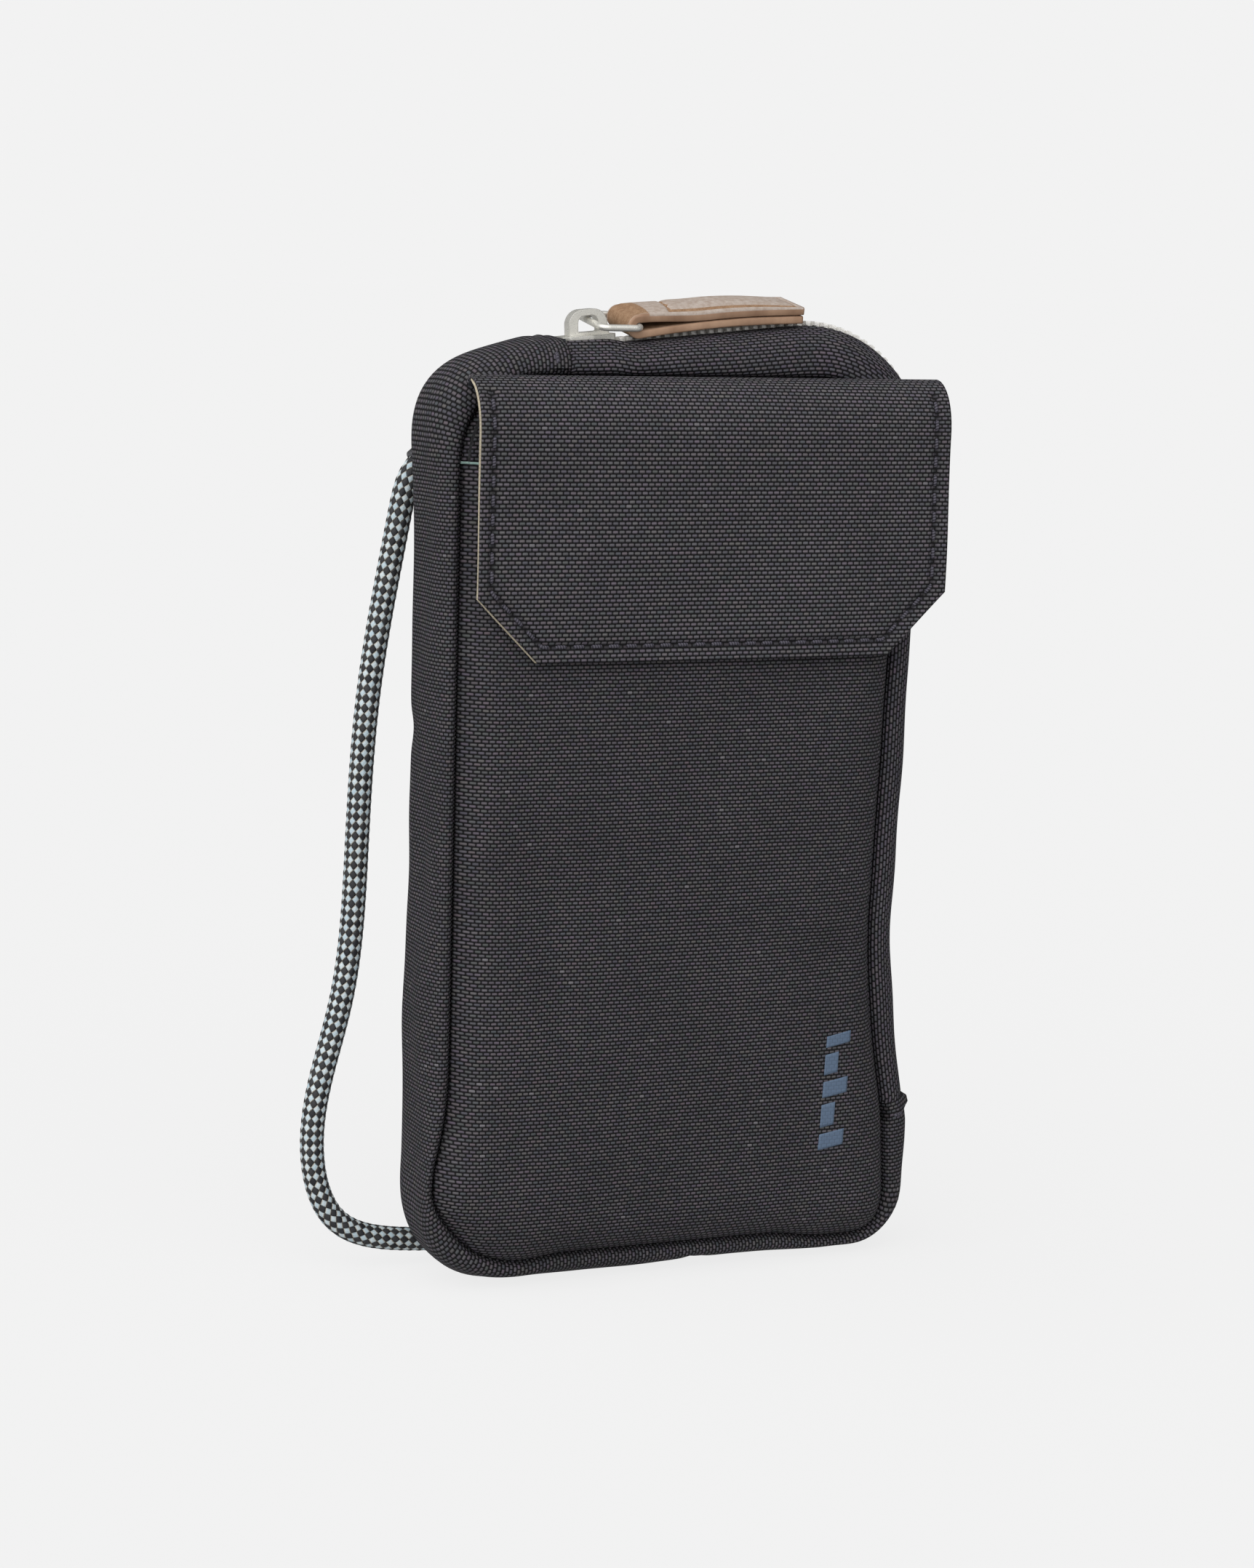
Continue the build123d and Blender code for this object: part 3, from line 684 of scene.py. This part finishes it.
def make_gusset():
    """One long strip from the start of the zip, round the left side and bottom, to the zip's end."""
    rises = rise_of("gusset", -3.0)
    order = run_of(rises)
    rise = blur(rises[order], 13, closed=False)
    half = side_profile(SHOULDER_Y)
    profile = np.vstack([half[::-1] * (-1, 1, 1), half[1:]])
    along = np.arange(len(order)) * OUTLINE_STEP
    ends = np.minimum(along, along[-1] - along)
    field = band_waves(along, profile[:, 0], 1.6, 5, 26) * 0.16
    base = SEAM[order]
    crease = np.exp(-((base[:, 1] - 115) / 3.5) ** 2) * (base[:, 0] < 0)
    notch = np.exp(-((base[:, 0] - 5.5) / 2.2) ** 2) * (base[:, 1] < 20)
    ear = np.exp(-((along[-1] - along - 1.4) / 1.1) ** 2)
    waist = smoothstep(52, 90, base[:, 1]) * smoothstep(186, 150, base[:, 1]) * (base[:, 0] < 0)
    under = smoothstep(12, 7, base[:, 1])
    hip = smoothstep(24, 12, base[:, 1]) * smoothstep(34, 54, base[:, 0])
    depth, full = profile[:, 0], profile[:, 1]
    terms = [                                      # where along, where across, height out
        (crease, full * smoothstep(2, 8, depth), -1.3),
        (notch, full * smoothstep(8, -4, depth), -0.7),
        (ear, full ** 2 * smoothstep(4, 0.5, np.abs(depth + 5)), 1.8),
        (smoothstep(6, 0, along), full, -0.6),     # sinks toward the slider
        (waist, full, -1.2),                       # the slack left side
        (under, full * smoothstep(1, 5, np.abs(depth)), -0.8),
        (hip, full, -0.9),
        (smoothstep(0.2, 0, ends - 1), full, -0.3),     # folded ends
        (np.exp(-((ends - 3.2) / 0.8) ** 2), full, -0.25),     # the furrow of their stitches
    ]
    relief = field * full[None]
    for place, share, height in terms:
        relief = relief + place[:, None] * share[None] * height
    points = side_surface(order, rise, profile, relief)
    piece = sheet("gusset_cloth", points, band_cloth(points), CLOTH, flip=True)
    thicken(piece, GUSSET_CLOTH)
    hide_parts("gusset")
    for end, row in (("start", 3), ("end", -4)):
        line = points[row][(depth < -8.2) & (full > 0)]
        out_x, out_z = SEAM_OUT[order][row]
        out = np.tile([out_x, 0.0, out_z], (len(line), 1))
        stitches(f"gusset_stitches_{end}", line, out, THREAD_DARK, pitch=3.2)


def make_tape(side):
    """One half of the zip's tape, from the teeth down to the seam."""
    node = "zip_tape_front" if side < 0 else "zip_tape_back"
    rises = rise_of(node, side * 3.5)
    order = run_of(rises)
    rise = blur(rises[order], 5, closed=False)
    tuck = 5
    order = np.arange(order[0] - tuck, order[0] + len(order) + tuck) % len(SEAM)
    rise = np.pad(rise, tuck, mode="edge")
    profile = side_profile(TAPE_SHOULDER_Y, TAPE_GAP)
    along = np.arange(len(order)) * OUTLINE_STEP
    hidden = np.clip(tuck - np.minimum(along, along[-1] - along), 0, None)
    rise = rise - hidden * 0.45
    depth = profile[:, 0][None]
    field = band_waves(along, profile[:, 0], 2, 11 if side < 0 else 12, 30) * 0.22
    full = profile[:, 1][None] * smoothstep(4, 7, depth)
    puff = np.exp(-((depth - 5.4) / 1.5) ** 2)     # the tape swells over the slider's rest place
    beside_slider = smoothstep(21, 13, along[-1] - along)[:, None]
    beside_teeth = smoothstep(4.6, 2.6, depth) * (side < 0)
    relief = field * full + puff * beside_slider * 1.5 - beside_teeth * 0.12
    behind_teeth = np.exp(-((depth - 3.5) / 1.2) ** 2) * (side > 0)
    relief = relief + behind_teeth * 0.45
    points = side_surface(order, rise, profile * (side, 1, 1), relief)
    piece = sheet(node + "_cloth", points, band_cloth(points)[..., ::-1], TAPE, flip=side > 0)
    thicken(piece, TAPE_CLOTH)
    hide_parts(node)


# ---- Front, back and pocket panels ---------------------------------------------------------------
def crown(distance, start, height, reach):
    return start + height * (1 - np.exp(-distance / reach))


def closed_line(points):
    return np.vstack([points, points[:1]])


PANEL_EDGE = SEAM_LINE - SEAM_OUT * GROOVE
POCKET_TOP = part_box("pocket_panel")[1].z / MM


def make_front_panel():
    def height(plane):
        return -crown(distance_to(plane, closed_line(PANEL_EDGE)), 8.9, 2.1, 2.0)
    piece = panel("front_cloth", PANEL_EDGE, height, CLOTH)
    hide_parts("front_panel")


def make_back_panel():
    def height(plane):
        body = crown(distance_to(plane, closed_line(PANEL_EDGE)), 8.8, 3.8, 3.2)
        return body + waves(plane, 21, 34) * 0.16
    piece = panel("back_cloth", PANEL_EDGE, height, CLOTH, side=1)
    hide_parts("back_panel")


def pocket_side():
    """The part of the panel edge below the pocket's top, from its right end round to its left."""
    below = PANEL_EDGE[:, 1] < POCKET_TOP
    start = int(np.where(below & ~np.roll(below, 1))[0][0])
    order = (np.arange(len(below)) + start) % len(below)
    line = PANEL_EDGE[order[: int(below.sum())]]
    first = np.array([[line[0, 0], POCKET_TOP]])
    last = np.array([[line[-1, 0], POCKET_TOP]])
    return np.vstack([first, line, last])


POCKET_SIDE = pocket_side()


def pocket_height(plane):
    """Depth of the pocket's outside: crowned, with the slack and pulls of soft cloth."""
    edge = distance_to(plane, POCKET_SIDE)
    y = -crown(edge, 8.9, 7.5, 3.4)
    inside = smoothstep(1, 12, edge)
    y -= 0.45 * smoothstep(8, 40, edge)
    y += inside * waves(plane, 3, 40) * 0.16
    y += inside * 1.3 * dent(plane, 33, 66, 9, 5, -25)
    y += inside * 0.9 * dent(plane, 38, 84, 5, 12, -12)
    y -= inside * 0.35 * dent(plane, 28, 74, 8, 4, -30)
    y += inside * 0.7 * dent(plane, -34, 92, 5, 16, 12)
    y += inside * 0.5 * dent(plane, -30, 60, 4, 20, 8)
    return y


def make_pocket():
    top = resample(np.array([POCKET_SIDE[-1], POCKET_SIDE[0]]), OUTLINE_STEP)[1:-1]
    edge = np.vstack([POCKET_SIDE, top])
    piece = panel("pocket_cloth", edge, pocket_height, CLOTH, spine=(45, 128))
    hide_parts("pocket_panel")


def make_pocket_hem():
    """The turned-in top of the pocket, its light bound edge and its row of stitches."""
    left, right = POCKET_SIDE[-1, 0], POCKET_SIDE[0, 0]
    x = np.linspace(left + 0.4, right - 0.4, 110)
    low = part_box("pocket_hem")[0].z / MM
    rows = []
    for z, gap in ((POCKET_TOP - 0.05, 0.1), (POCKET_TOP - 0.2, 0.9), (low + 1, 1.1), (low, 1.1)):
        plane = np.column_stack([x, np.full(len(x), z)])
        rows.append(np.column_stack([x, pocket_height(plane) + gap, plane[:, 1]]))
    points = np.array(rows)
    piece = sheet("pocket_hem_cloth", points, points[..., [0, 2]], CLOTH, flip=True)
    thicken(piece, 0.35)
    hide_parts("pocket_hem")
    plane = np.column_stack([x, np.full(len(x), POCKET_TOP)])
    path = np.column_stack([x, pocket_height(plane) + 0.25, plane[:, 1]])
    section = rounded_section(0.9, 0.5, 0.2, 3, 2)
    points = swept(path, (0, 0, 1), section[:, ::-1])
    cloth = np.concatenate([points, points[:, :1]], 1)
    sheet("pocket_edge", points, cloth, MINT, closed=True, caps=True)
    plane = np.column_stack([x[3:-3], np.full(len(x) - 6, POCKET_TOP - 5)])
    line = np.column_stack([plane[:, 0], pocket_height(plane), plane[:, 1]])
    front = np.broadcast_to([0.0, -1.0, 0.0], line.shape)
    stitches("pocket_stitches", line, front, THREAD_DARK)


def make_mark():
    """A plain printed mark of slanted bars, low on the pocket's right side."""
    low, high, left, width = 25.2, 49.8, 30.7, 6.0
    # Each bar: where it starts and ends up the mark's height, and how far it reaches across
    bars = [(0.0, 0.14, 1.0), (0.20, 0.40, 0.55), (0.46, 0.60, 1.0), (0.66, 0.84, 0.55), (0.90, 1.0, 1.0)]
    points, faces, corners = [], [], []
    for start, end, reach in bars:
        u = np.linspace(0, reach, 12)
        v = np.linspace(start, end, 8)
        grid_u, grid_v = np.meshgrid(u, v, indexing="xy")
        x = left + grid_u * width + (grid_v - 0.5) * 1.4
        z = low + grid_v * (high - low) + grid_u * 0.9
        plane = np.column_stack([x.ravel(), z.ravel()])
        base = sum(len(p) for p in points)
        quads, unwrapped = grid_faces(8, 12)
        points.append(np.column_stack([plane[:, 0], pocket_height(plane) - 0.06, plane[:, 1]]))
        faces += [tuple(q) for q in quads + base]
        corners += list(as_cloth(plane)[unwrapped])
    piece = finish_mesh("pocket_mark", np.vstack(points), faces, corners, INK)
    thicken(piece, 0.05)


# ---- Flap ----------------------------------------------------------------------------------------
FLAP_LOW, FLAP_HIGH = box_of("flap_panel")
FLAP_FOLD = 12.0
FLAP_CUT = 13.0
ROOT_Y = FLAP_HIGH[1]
FOLD_REACH = FLAP_HIGH[1] - FLAP_LOW[1]


def fold_curve():
    """The flap's side view as (y, z), from inside the seam, over the fold and down to its edge."""
    turn = np.radians(np.linspace(0, 90, 30))
    fold = np.column_stack([ROOT_Y - FOLD_REACH * np.sin(turn),
                            FLAP_HIGH[2] - FLAP_FOLD + FLAP_FOLD * np.cos(turn)])
    start = np.array([[ROOT_Y + 1.6, FLAP_HIGH[2] - 1.6], [ROOT_Y + 0.8, FLAP_HIGH[2] - 0.4]])
    end = np.array([[FLAP_LOW[1], FLAP_LOW[2]]])
    return resample(np.vstack([start, fold, end]), 0.25)


FOLD = fold_curve()
FOLD_LENGTHS = np.arange(len(FOLD)) * np.linalg.norm(FOLD[1] - FOLD[0])
FLAP_DOWN = FOLD_LENGTHS[-1]


def flap_sides(down):
    """Left and right edges of the flap at a distance down its cloth."""
    cut = np.clip(down - (FLAP_DOWN - FLAP_CUT), 0, None)
    return FLAP_LOW[0] + 0.5 + cut, FLAP_HIGH[0] - cut


def flap_stitch_line():
    left, right = FLAP_LOW[0] + STITCH_INSET, FLAP_HIGH[0] - STITCH_INSET
    low = FLAP_DOWN - STITCH_INSET
    corner = FLAP_CUT - STITCH_INSET * (2 - math.sqrt(2))
    line = [(left, 9.0), (left, low - corner), (left + corner, low), (right - corner, low),
            (right, low - corner), (right, 9.0)]
    return resample(np.array(line), 0.8)


STITCH_LINE = flap_stitch_line()


def flap_point(x, down, depth=0.0):
    """A point on the flap from its place on the flat cloth, and the direction out of the cloth."""
    y = np.interp(down, FOLD_LENGTHS, FOLD[:, 0])
    z = np.interp(down, FOLD_LENGTHS, FOLD[:, 1])
    slope_y = np.interp(down, FOLD_LENGTHS, np.gradient(FOLD[:, 0], FOLD_LENGTHS))
    slope_z = np.interp(down, FOLD_LENGTHS, np.gradient(FOLD[:, 1], FOLD_LENGTHS))
    out = np.stack([np.zeros_like(y), slope_z, -slope_y], -1)
    left, right = flap_sides(down)
    edge = np.minimum(x - left, right - x)
    hang = smoothstep(4, 20, down)
    sag = 1.1 * (1 - smoothstep(-2, 26, edge)) + 0.5 * smoothstep(FLAP_DOWN - 26, FLAP_DOWN, down)
    flat = np.column_stack([np.ravel(x), np.ravel(down)])
    ripple = (waves(flat, 8, 38) * 0.14).reshape(np.shape(x))
    seam = distance_to(flat, STITCH_LINE).reshape(np.shape(x))
    furrow = 0.6 * np.exp(-(seam / 0.75) ** 2)
    inward = (sag + ripple) * hang + furrow + depth
    return np.stack([x, y, z], -1) - out * inward[..., None], out


def flap_layer(name, depth, material, slot, thickness, spread=0.0, columns=190, rows=130):
    """One layer of the flap at a depth under its skin; spread lets it show at the left edge."""
    down = np.concatenate([np.linspace(0, FLAP_DOWN - FLAP_CUT, rows),
                           np.linspace(FLAP_DOWN - FLAP_CUT, FLAP_DOWN, 24)[1:]])
    left, right = flap_sides(down)
    show = smoothstep(2.5, 5, down) - 0.5 * smoothstep(22, 40, down)
    show = show + 0.6 * smoothstep(-16, -9, down - FLAP_DOWN)
    left = left - spread * show + (spread > 0) * 0.3 * (1 - smoothstep(2, 4, down))
    share = np.linspace(0, 1, columns)
    x = left[:, None] + (right - left)[:, None] * share[None]
    grid_down = np.broadcast_to(down[:, None], x.shape)
    points, _ = flap_point(x, grid_down, depth)
    seam = distance_to(np.column_stack([x.ravel(), grid_down.ravel()]), STITCH_LINE).reshape(x.shape)
    # The third cloth value marks the stitch furrow, where the flap cloth gets painted shade
    cloth = np.stack([x, -grid_down, np.exp(-(seam / 0.7) ** 2)], -1)
    piece = sheet(name, points, cloth, material, body=None)
    thicken(piece, thickness)
    return piece


def bend_with_flap(piece):
    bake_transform(piece)


def make_flap():
    cloth = flap_layer("flap_cloth", 0.0, FLAP_CLOTH, "melange_cloth", 0.7)
    coarse = {"columns": 60, "rows": 60}
    raw = flap_layer("flap_raw_edge", 0.72, RAW_EDGE, "light_backing", 0.25, spread=0.32, **coarse)
    backing = flap_layer("flap_backing_cloth", 0.98, LINING, "light_backing", 0.3, **coarse)
    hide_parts("flap_panel")
    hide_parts("flap_backing")
    line, out = flap_point(STITCH_LINE[:, 0], STITCH_LINE[:, 1])
    thread_row = stitches("flap_stitches", line, out, THREAD_DARK, body=None)
    for piece in (cloth, raw, backing, thread_row):
        bend_with_flap(piece)


# ---- Cord ----------------------------------------------------------------------------------------
def cord_line():
    """The middle of the cord, followed through the inside of its solid."""
    node = NODES["cord"]
    tree = BVHTree.FromObject(node, bpy.context.evaluated_depsgraph_get())
    low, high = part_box("cord")
    depth = (low.y + high.y) / 2
    vertices = np.array([vertex.co for vertex in node.data.vertices])
    leftmost = vertices[vertices[:, 0].argmin()]
    radius = (high.y - low.y) / 2
    start = np.array([leftmost[0] + radius, leftmost[2]])

    def follow(point, heading, step=1.0 * MM):
        line = []
        while True:
            point = point + heading * step
            side = np.array([-heading[1], heading[0]])
            gaps = []
            for sign in (1, -1):
                way = Vector((side[0] * sign, 0, side[1] * sign))
                hit = tree.ray_cast(Vector((point[0], depth, point[1])), way, radius * 2)
                gaps.append(hit[3])
            if None in gaps:
                return line
            ahead = Vector((heading[0], 0, heading[1]))
            end = tree.ray_cast(Vector((point[0], depth, point[1])), ahead, radius * 0.6)
            point = point + side * (gaps[0] - gaps[1]) / 2
            if line:
                turned = point - line[-1]
                heading = 0.5 * heading + 0.5 * turned / np.linalg.norm(turned)
                heading = heading / np.linalg.norm(heading)
            line.append(point)
            if end[0] is not None and abs(end[1].dot(ahead)) > 0.9:
                return line

    up = follow(start, np.array([0.0, 1.0]))
    down = follow(start, np.array([0.0, -1.0]))
    line = np.array(up[::-1] + [start] + down) / MM
    line = blur(line, 7, closed=False)
    return np.column_stack([line[:, 0], np.full(len(line), depth / MM), line[:, 1]]), radius / MM


def make_cord():
    path, radius = cord_line()
    path = resample(path, 0.4)
    around = CORD_LOZENGES * 7
    angle = np.linspace(0, 2 * math.pi, around + 1)
    length = np.arange(len(path)) * 0.4
    u = np.broadcast_to(angle[None] / (2 * math.pi) * CORD_LOZENGES, (len(path), around + 1))
    v = np.broadcast_to(length[:, None] / LOZENGE_LENGTH, u.shape)
    a, b = (u + v) % 1 - 0.5, (u - v) % 1 - 0.5
    dome = np.sqrt(np.clip((1 - (2 * a) ** 2) * (1 - (2 * b) ** 2), 0, 1))
    swell = radius - CORD_RELIEF + CORD_RELIEF * 1.25 * dome[:, :-1]
    along = unit(np.gradient(path, axis=0))
    side = np.cross(along, [0, 1.0, 0])
    ring = side[:, None] * np.cos(angle[:-1])[None, :, None]
    ring = ring + np.array([0, 1.0, 0]) * np.sin(angle[:-1])[None, :, None]
    points = path[:, None] + ring * swell[..., None]
    cloth = np.stack([u, v], -1)
    piece = sheet("cord_braid", points, cloth, BRAID, "cord", closed=True, caps=True)
    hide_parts("cord")


def make_anchor(node, name):
    """A webbing loop with its ends sewn flat on the back."""
    low, high = box_of(node)
    middle = (low + high) / 2
    half = (high[0] - low[0]) / 2 - 0.5
    foot = low[1] - 0.45
    out = high[1] - 0.5
    corner = 1.5
    turn = np.radians(np.linspace(0, 90, 7))
    right = [(half - 3.4, foot), (half - 1.4, foot)]
    right += [(half - 0.9 + 0.9 * math.sin(a), foot + 0.9 - 0.9 * math.cos(a)) for a in turn]
    right += [(half - corner + corner * math.cos(a), out - corner + corner * math.sin(a)) for a in turn]
    loop = np.array(right + [(-x, y) for x, y in reversed(right)])
    path = np.column_stack([loop[:, 0] + middle[0], loop[:, 1], np.full(len(loop), middle[2])])
    section = rounded_section(high[2] - low[2], 0.9, 0.3, 10, 3)
    points = swept(path, (0, 0, 1), section)
    lengths = lengths_along(path)
    edge = np.vstack([section, section[:1]])[:, 0]
    cloth = np.stack(np.meshgrid(edge, lengths, indexing="xy"), -1)
    piece = sheet(name, points, cloth, WEBBING, closed=True, flip=True, caps=True)
    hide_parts(node)


# ---- Leather pull --------------------------------------------------------------------------------
def make_pull():
    """A leather strip folded round the ring, with a padded and stitched panel on its upper half."""
    hinge = np.array(JOINTS["pull_hinge"]["pos_m"]) / MM
    along = np.array(JOINTS["slider_travel"]["axis"], float)
    along /= np.linalg.norm(along)
    along *= np.sign(along[0])
    across = -np.array(JOINTS["pull_hinge"]["axis"], float)
    up = np.cross(along, across)
    high = box_of("pull_leather")[1]
    reach = (high[0] - hinge[0]) / along[0] - 0.3
    radius = LEATHER_TURN
    close_up = LEATHER + 0.12 - radius
    lower = [(l, -radius) for l in np.linspace(reach - 0.25, 0.4, 70)]
    fold = [(-radius * math.sin(a), -radius * math.cos(a)) for a in np.radians(np.linspace(0, 180, 26))]
    upper = []
    for l in np.linspace(0.4, reach, 96):
        ease = float(smoothstep(-2, 15, l))
        upper.append((l, radius + (close_up - radius) * ease))
    line = np.array(lower + fold + upper)
    line[:, 1] += 0.75 * np.sin(np.clip(line[:, 0] / reach, 0, 1) * math.pi)
    path = hinge + along * line[:, :1] + up * line[:, 1:]
    section = rounded_section(LEATHER_WIDTH, LEATHER - 0.06, 0.45, 40, 4)
    points = swept(path, across, section)
    lengths = lengths_along(path)
    edge_cut = np.abs(section[:, 0]) > LEATHER_WIDTH / 2 - 0.5
    kind = np.where(edge_cut, 2.0, 0.0)[None].repeat(len(path), 0)
    place = np.where(np.arange(len(line)) >= len(lower) + len(fold), line[:, 0], -5.0)
    normal = points[:, 0] - points[:, len(section) // 2]
    normal /= np.linalg.norm(normal, axis=1, keepdims=True)
    face = (section[:, 1] > 0.5 * LEATHER - 0.35) if (normal[-1] @ up) > 0 else \
        (section[:, 1] < -(0.5 * LEATHER - 0.35))
    a, l = section[:, 0][None], place[:, None]
    border = 1.3
    start = 7.0 + (a + LEATHER_WIDTH / 2) * 0.12
    sides = LEATHER_WIDTH / 2 - border - np.abs(a)
    inside = np.minimum(np.minimum(sides, l - start), reach - border - l)
    padded = smoothstep(0.0, 2.2, inside) * 0.25
    bulge = np.clip(np.sin(np.clip((l + 6) / (reach + 6), 0, 1) * math.pi), 0, 1)
    bulge = bulge * (1 - (np.abs(a) / 6.3) ** 2.5) * 1.4
    groove = 0.4 * np.exp(-((inside + 0.05) / 0.38) ** 2) * (l > 0)
    lift = (padded + bulge - groove) * face[None] * (l > 0)
    points = points + up * lift[..., None]
    kind = np.where(face[None] & (l > 2) & (np.abs(inside) > 0.3), 1.0, kind)
    ring = np.concatenate([section[:, 0], section[:1, 0]])
    cloth = np.stack([np.broadcast_to(ring[None], (len(path), len(ring))),
                      np.broadcast_to(lengths[:, None], (len(path), len(ring))),
                      np.concatenate([kind, kind[:, :1]], 1)], -1)
    ends = cloth.copy()
    ends[[0, -1], :, 2] = 2.0
    piece = sheet("pull_strip", points, ends, LEATHER_SKIN, "pull", closed=True,
                  flip=True, caps=True)
    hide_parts("pull_leather")


# ---- CAD nodes that keep their own shape ---------------------------------------------------------
KEPT = {
    "front_lining": LINING, "back_lining": LINING,
    "front_padding": FOAM, "back_padding": FOAM,
    "seam_binding_front": BINDING, "seam_binding_back": BINDING,
    "pocket_magnet": STEEL, "flap_magnet": STEEL,
    "zip_teeth_front": TEETH, "zip_teeth_back": TEETH, "zip_top_stops": TEETH,
    "zip_bottom_stop": TEETH, "slider": NICKEL, "pull_ring": NICKEL,
    "cord_end_left": CAP, "cord_end_right": CAP,
}
BEVELS = {"slider": 0.32, "cord_end_left": 0.2, "cord_end_right": 0.2, "zip_bottom_stop": 0.15}


def make_gusset_lining():
    """The gusset's lining, drawn in where the left side of the gusset hangs slack."""
    node = NODES["gusset_lining"]
    points = np.array([vertex.co for vertex in node.data.vertices]) / MM
    points[:, 0] += 1.6 * smoothstep(-44, -50, points[:, 0])
    mesh = node.data.copy()
    mesh.vertices.foreach_set("co", (points * MM).ravel())
    mesh.materials.clear()
    mesh.materials.append(LINING)
    piece = add_object("gusset_lining_cloth", mesh)
    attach(piece, "pouch")
    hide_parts("gusset_lining")


def dress_nodes():
    for name, material in KEPT.items():
        node = NODES[name]
        node.data.materials.clear()
        node.data.materials.append(material)
        if name in BEVELS:
            bevel = node.modifiers.new("Soft edges", "BEVEL")
            bevel.width = BEVELS[name] * MM
            bevel.segments = 3
            bevel.limit_method = "ANGLE"
            bevel.angle_limit = math.radians(35)
            bevel.harden_normals = True


# ---- Stage, light and camera ---------------------------------------------------------------------
BACKGROUND = srgb(242, 242, 242)
FLOOR_DIFFUSE = 0.1
FLOOR_GLOW = 0.8         # what the camera sees of the floor's own light
FLOOR_BOUNCE = 0.3       # what the object gets of it
DOME_BASE = 0.2
# Each lobe: where it is brightest, the cosine at which it starts, and its strength
DOME_LOBES = [((-0.5, -0.65, 0.6), 0.15, 1.95), ((-0.9, 0.1, 0.35), 0.3, 0.45)]
CAMERA_ANGLES = (-24, 8.5, 1.4)     # azimuth, elevation and lean, in degrees
CAMERA_TARGET = (1.6, 0, 99.2)
CAMERA_DISTANCE = 718.65
CAMERA_SHIFT = (-9.633, 3.364)      # sideways and up, to set the object off centre


def make_floor():
    """A pale, softly lit table that is partly its own light, so shadows on it stay faint."""
    mesh = bpy.data.meshes.new("floor")
    size = 40.0
    level = CAD_BOX[0].z - 0.0004
    corners = [(-size, -size, level), (size, -size, level), (size, size, level), (-size, size, level)]
    mesh.from_pydata(corners, [], [(0, 1, 2, 3)])
    floor = add_object("floor", mesh)
    g = Graph("floor", roughness=1.0, specular=0.0)
    g.set("Base Color", (FLOOR_DIFFUSE, FLOOR_DIFFUSE, FLOOR_DIFFUSE, 1))
    g.set("Emission Color", (1, 1, 1, 1))
    seen = g.tree.nodes.new("ShaderNodeLightPath").outputs["Is Camera Ray"]
    g.set("Emission Strength", g.ramp(seen, 0, 1, FLOOR_BOUNCE, FLOOR_GLOW))
    mesh.materials.append(g.material)


def make_light():
    """A pale surrounding dome, brighter above and in front, with plain background for the camera."""
    world = bpy.data.worlds.new("studio")
    bpy.context.scene.world = world
    world.use_nodes = True
    tree = world.node_tree
    tree.nodes.clear()
    new = tree.nodes.new
    link = tree.links.new
    coordinate = new("ShaderNodeTexCoord")
    total = DOME_BASE
    for direction, low, strength in DOME_LOBES:
        dot = new("ShaderNodeVectorMath")
        dot.operation = "DOT_PRODUCT"
        link(coordinate.outputs["Generated"], dot.inputs[0])
        dot.inputs[1].default_value = Vector(direction).normalized()
        lobe = new("ShaderNodeMapRange")
        lobe.interpolation_type = "SMOOTHSTEP"
        link(dot.outputs["Value"], lobe.inputs["Value"])
        lobe.inputs["From Min"].default_value = low
        lobe.inputs["To Max"].default_value = strength
        add = new("ShaderNodeMath")
        link(lobe.outputs[0], add.inputs[0])
        if total is DOME_BASE:
            add.inputs[1].default_value = total
        else:
            link(total, add.inputs[1])
        total = add.outputs[0]
    dome = new("ShaderNodeBackground")
    link(total, dome.inputs["Strength"])
    plain = new("ShaderNodeBackground")
    plain.inputs["Color"].default_value = BACKGROUND
    path = new("ShaderNodeLightPath")
    mix = new("ShaderNodeMixShader")
    link(path.outputs["Is Camera Ray"], mix.inputs[0])
    link(dome.outputs[0], mix.inputs[1])
    link(plain.outputs[0], mix.inputs[2])
    out = new("ShaderNodeOutputWorld")
    link(mix.outputs[0], out.inputs[0])
    bpy.context.scene.view_settings.view_transform = "Standard"
    bpy.context.scene.view_settings.look = "None"


def make_camera():
    """The camera stands to the left, a little above the object, and leans slightly."""
    azimuth, elevation, lean = [math.radians(angle) for angle in CAMERA_ANGLES]
    back = Vector((math.sin(azimuth) * math.cos(elevation), -math.cos(azimuth) * math.cos(elevation),
                   math.sin(elevation)))
    right = Vector((math.cos(azimuth), math.sin(azimuth), 0))
    above = back.cross(right)
    side = right * math.cos(lean) + above * math.sin(lean)
    top = above * math.cos(lean) - right * math.sin(lean)
    place = Vector(CAMERA_TARGET) + back * CAMERA_DISTANCE
    place = place + side * CAMERA_SHIFT[0] + top * CAMERA_SHIFT[1]
    data = bpy.data.cameras.new("camera")
    data.lens = 78.48
    data.sensor_width = 36
    data.clip_start = 0.01
    data.clip_end = 200
    camera = add_object("camera", data)
    turn = Matrix((side, top, back)).transposed().to_4x4()
    camera.matrix_world = Matrix.Translation(place * MM) @ turn
    bpy.context.scene.camera = camera


make_gusset()
make_tape(-1)
make_tape(1)
make_front_panel()
make_back_panel()
make_pocket()
make_pocket_hem()
make_mark()
make_flap()
make_cord()
make_anchor("cord_anchor_left", "anchor_webbing_left")
make_anchor("cord_anchor_right", "anchor_webbing_right")
make_pull()
make_gusset_lining()
dress_nodes()
make_floor()
make_light()
make_camera()
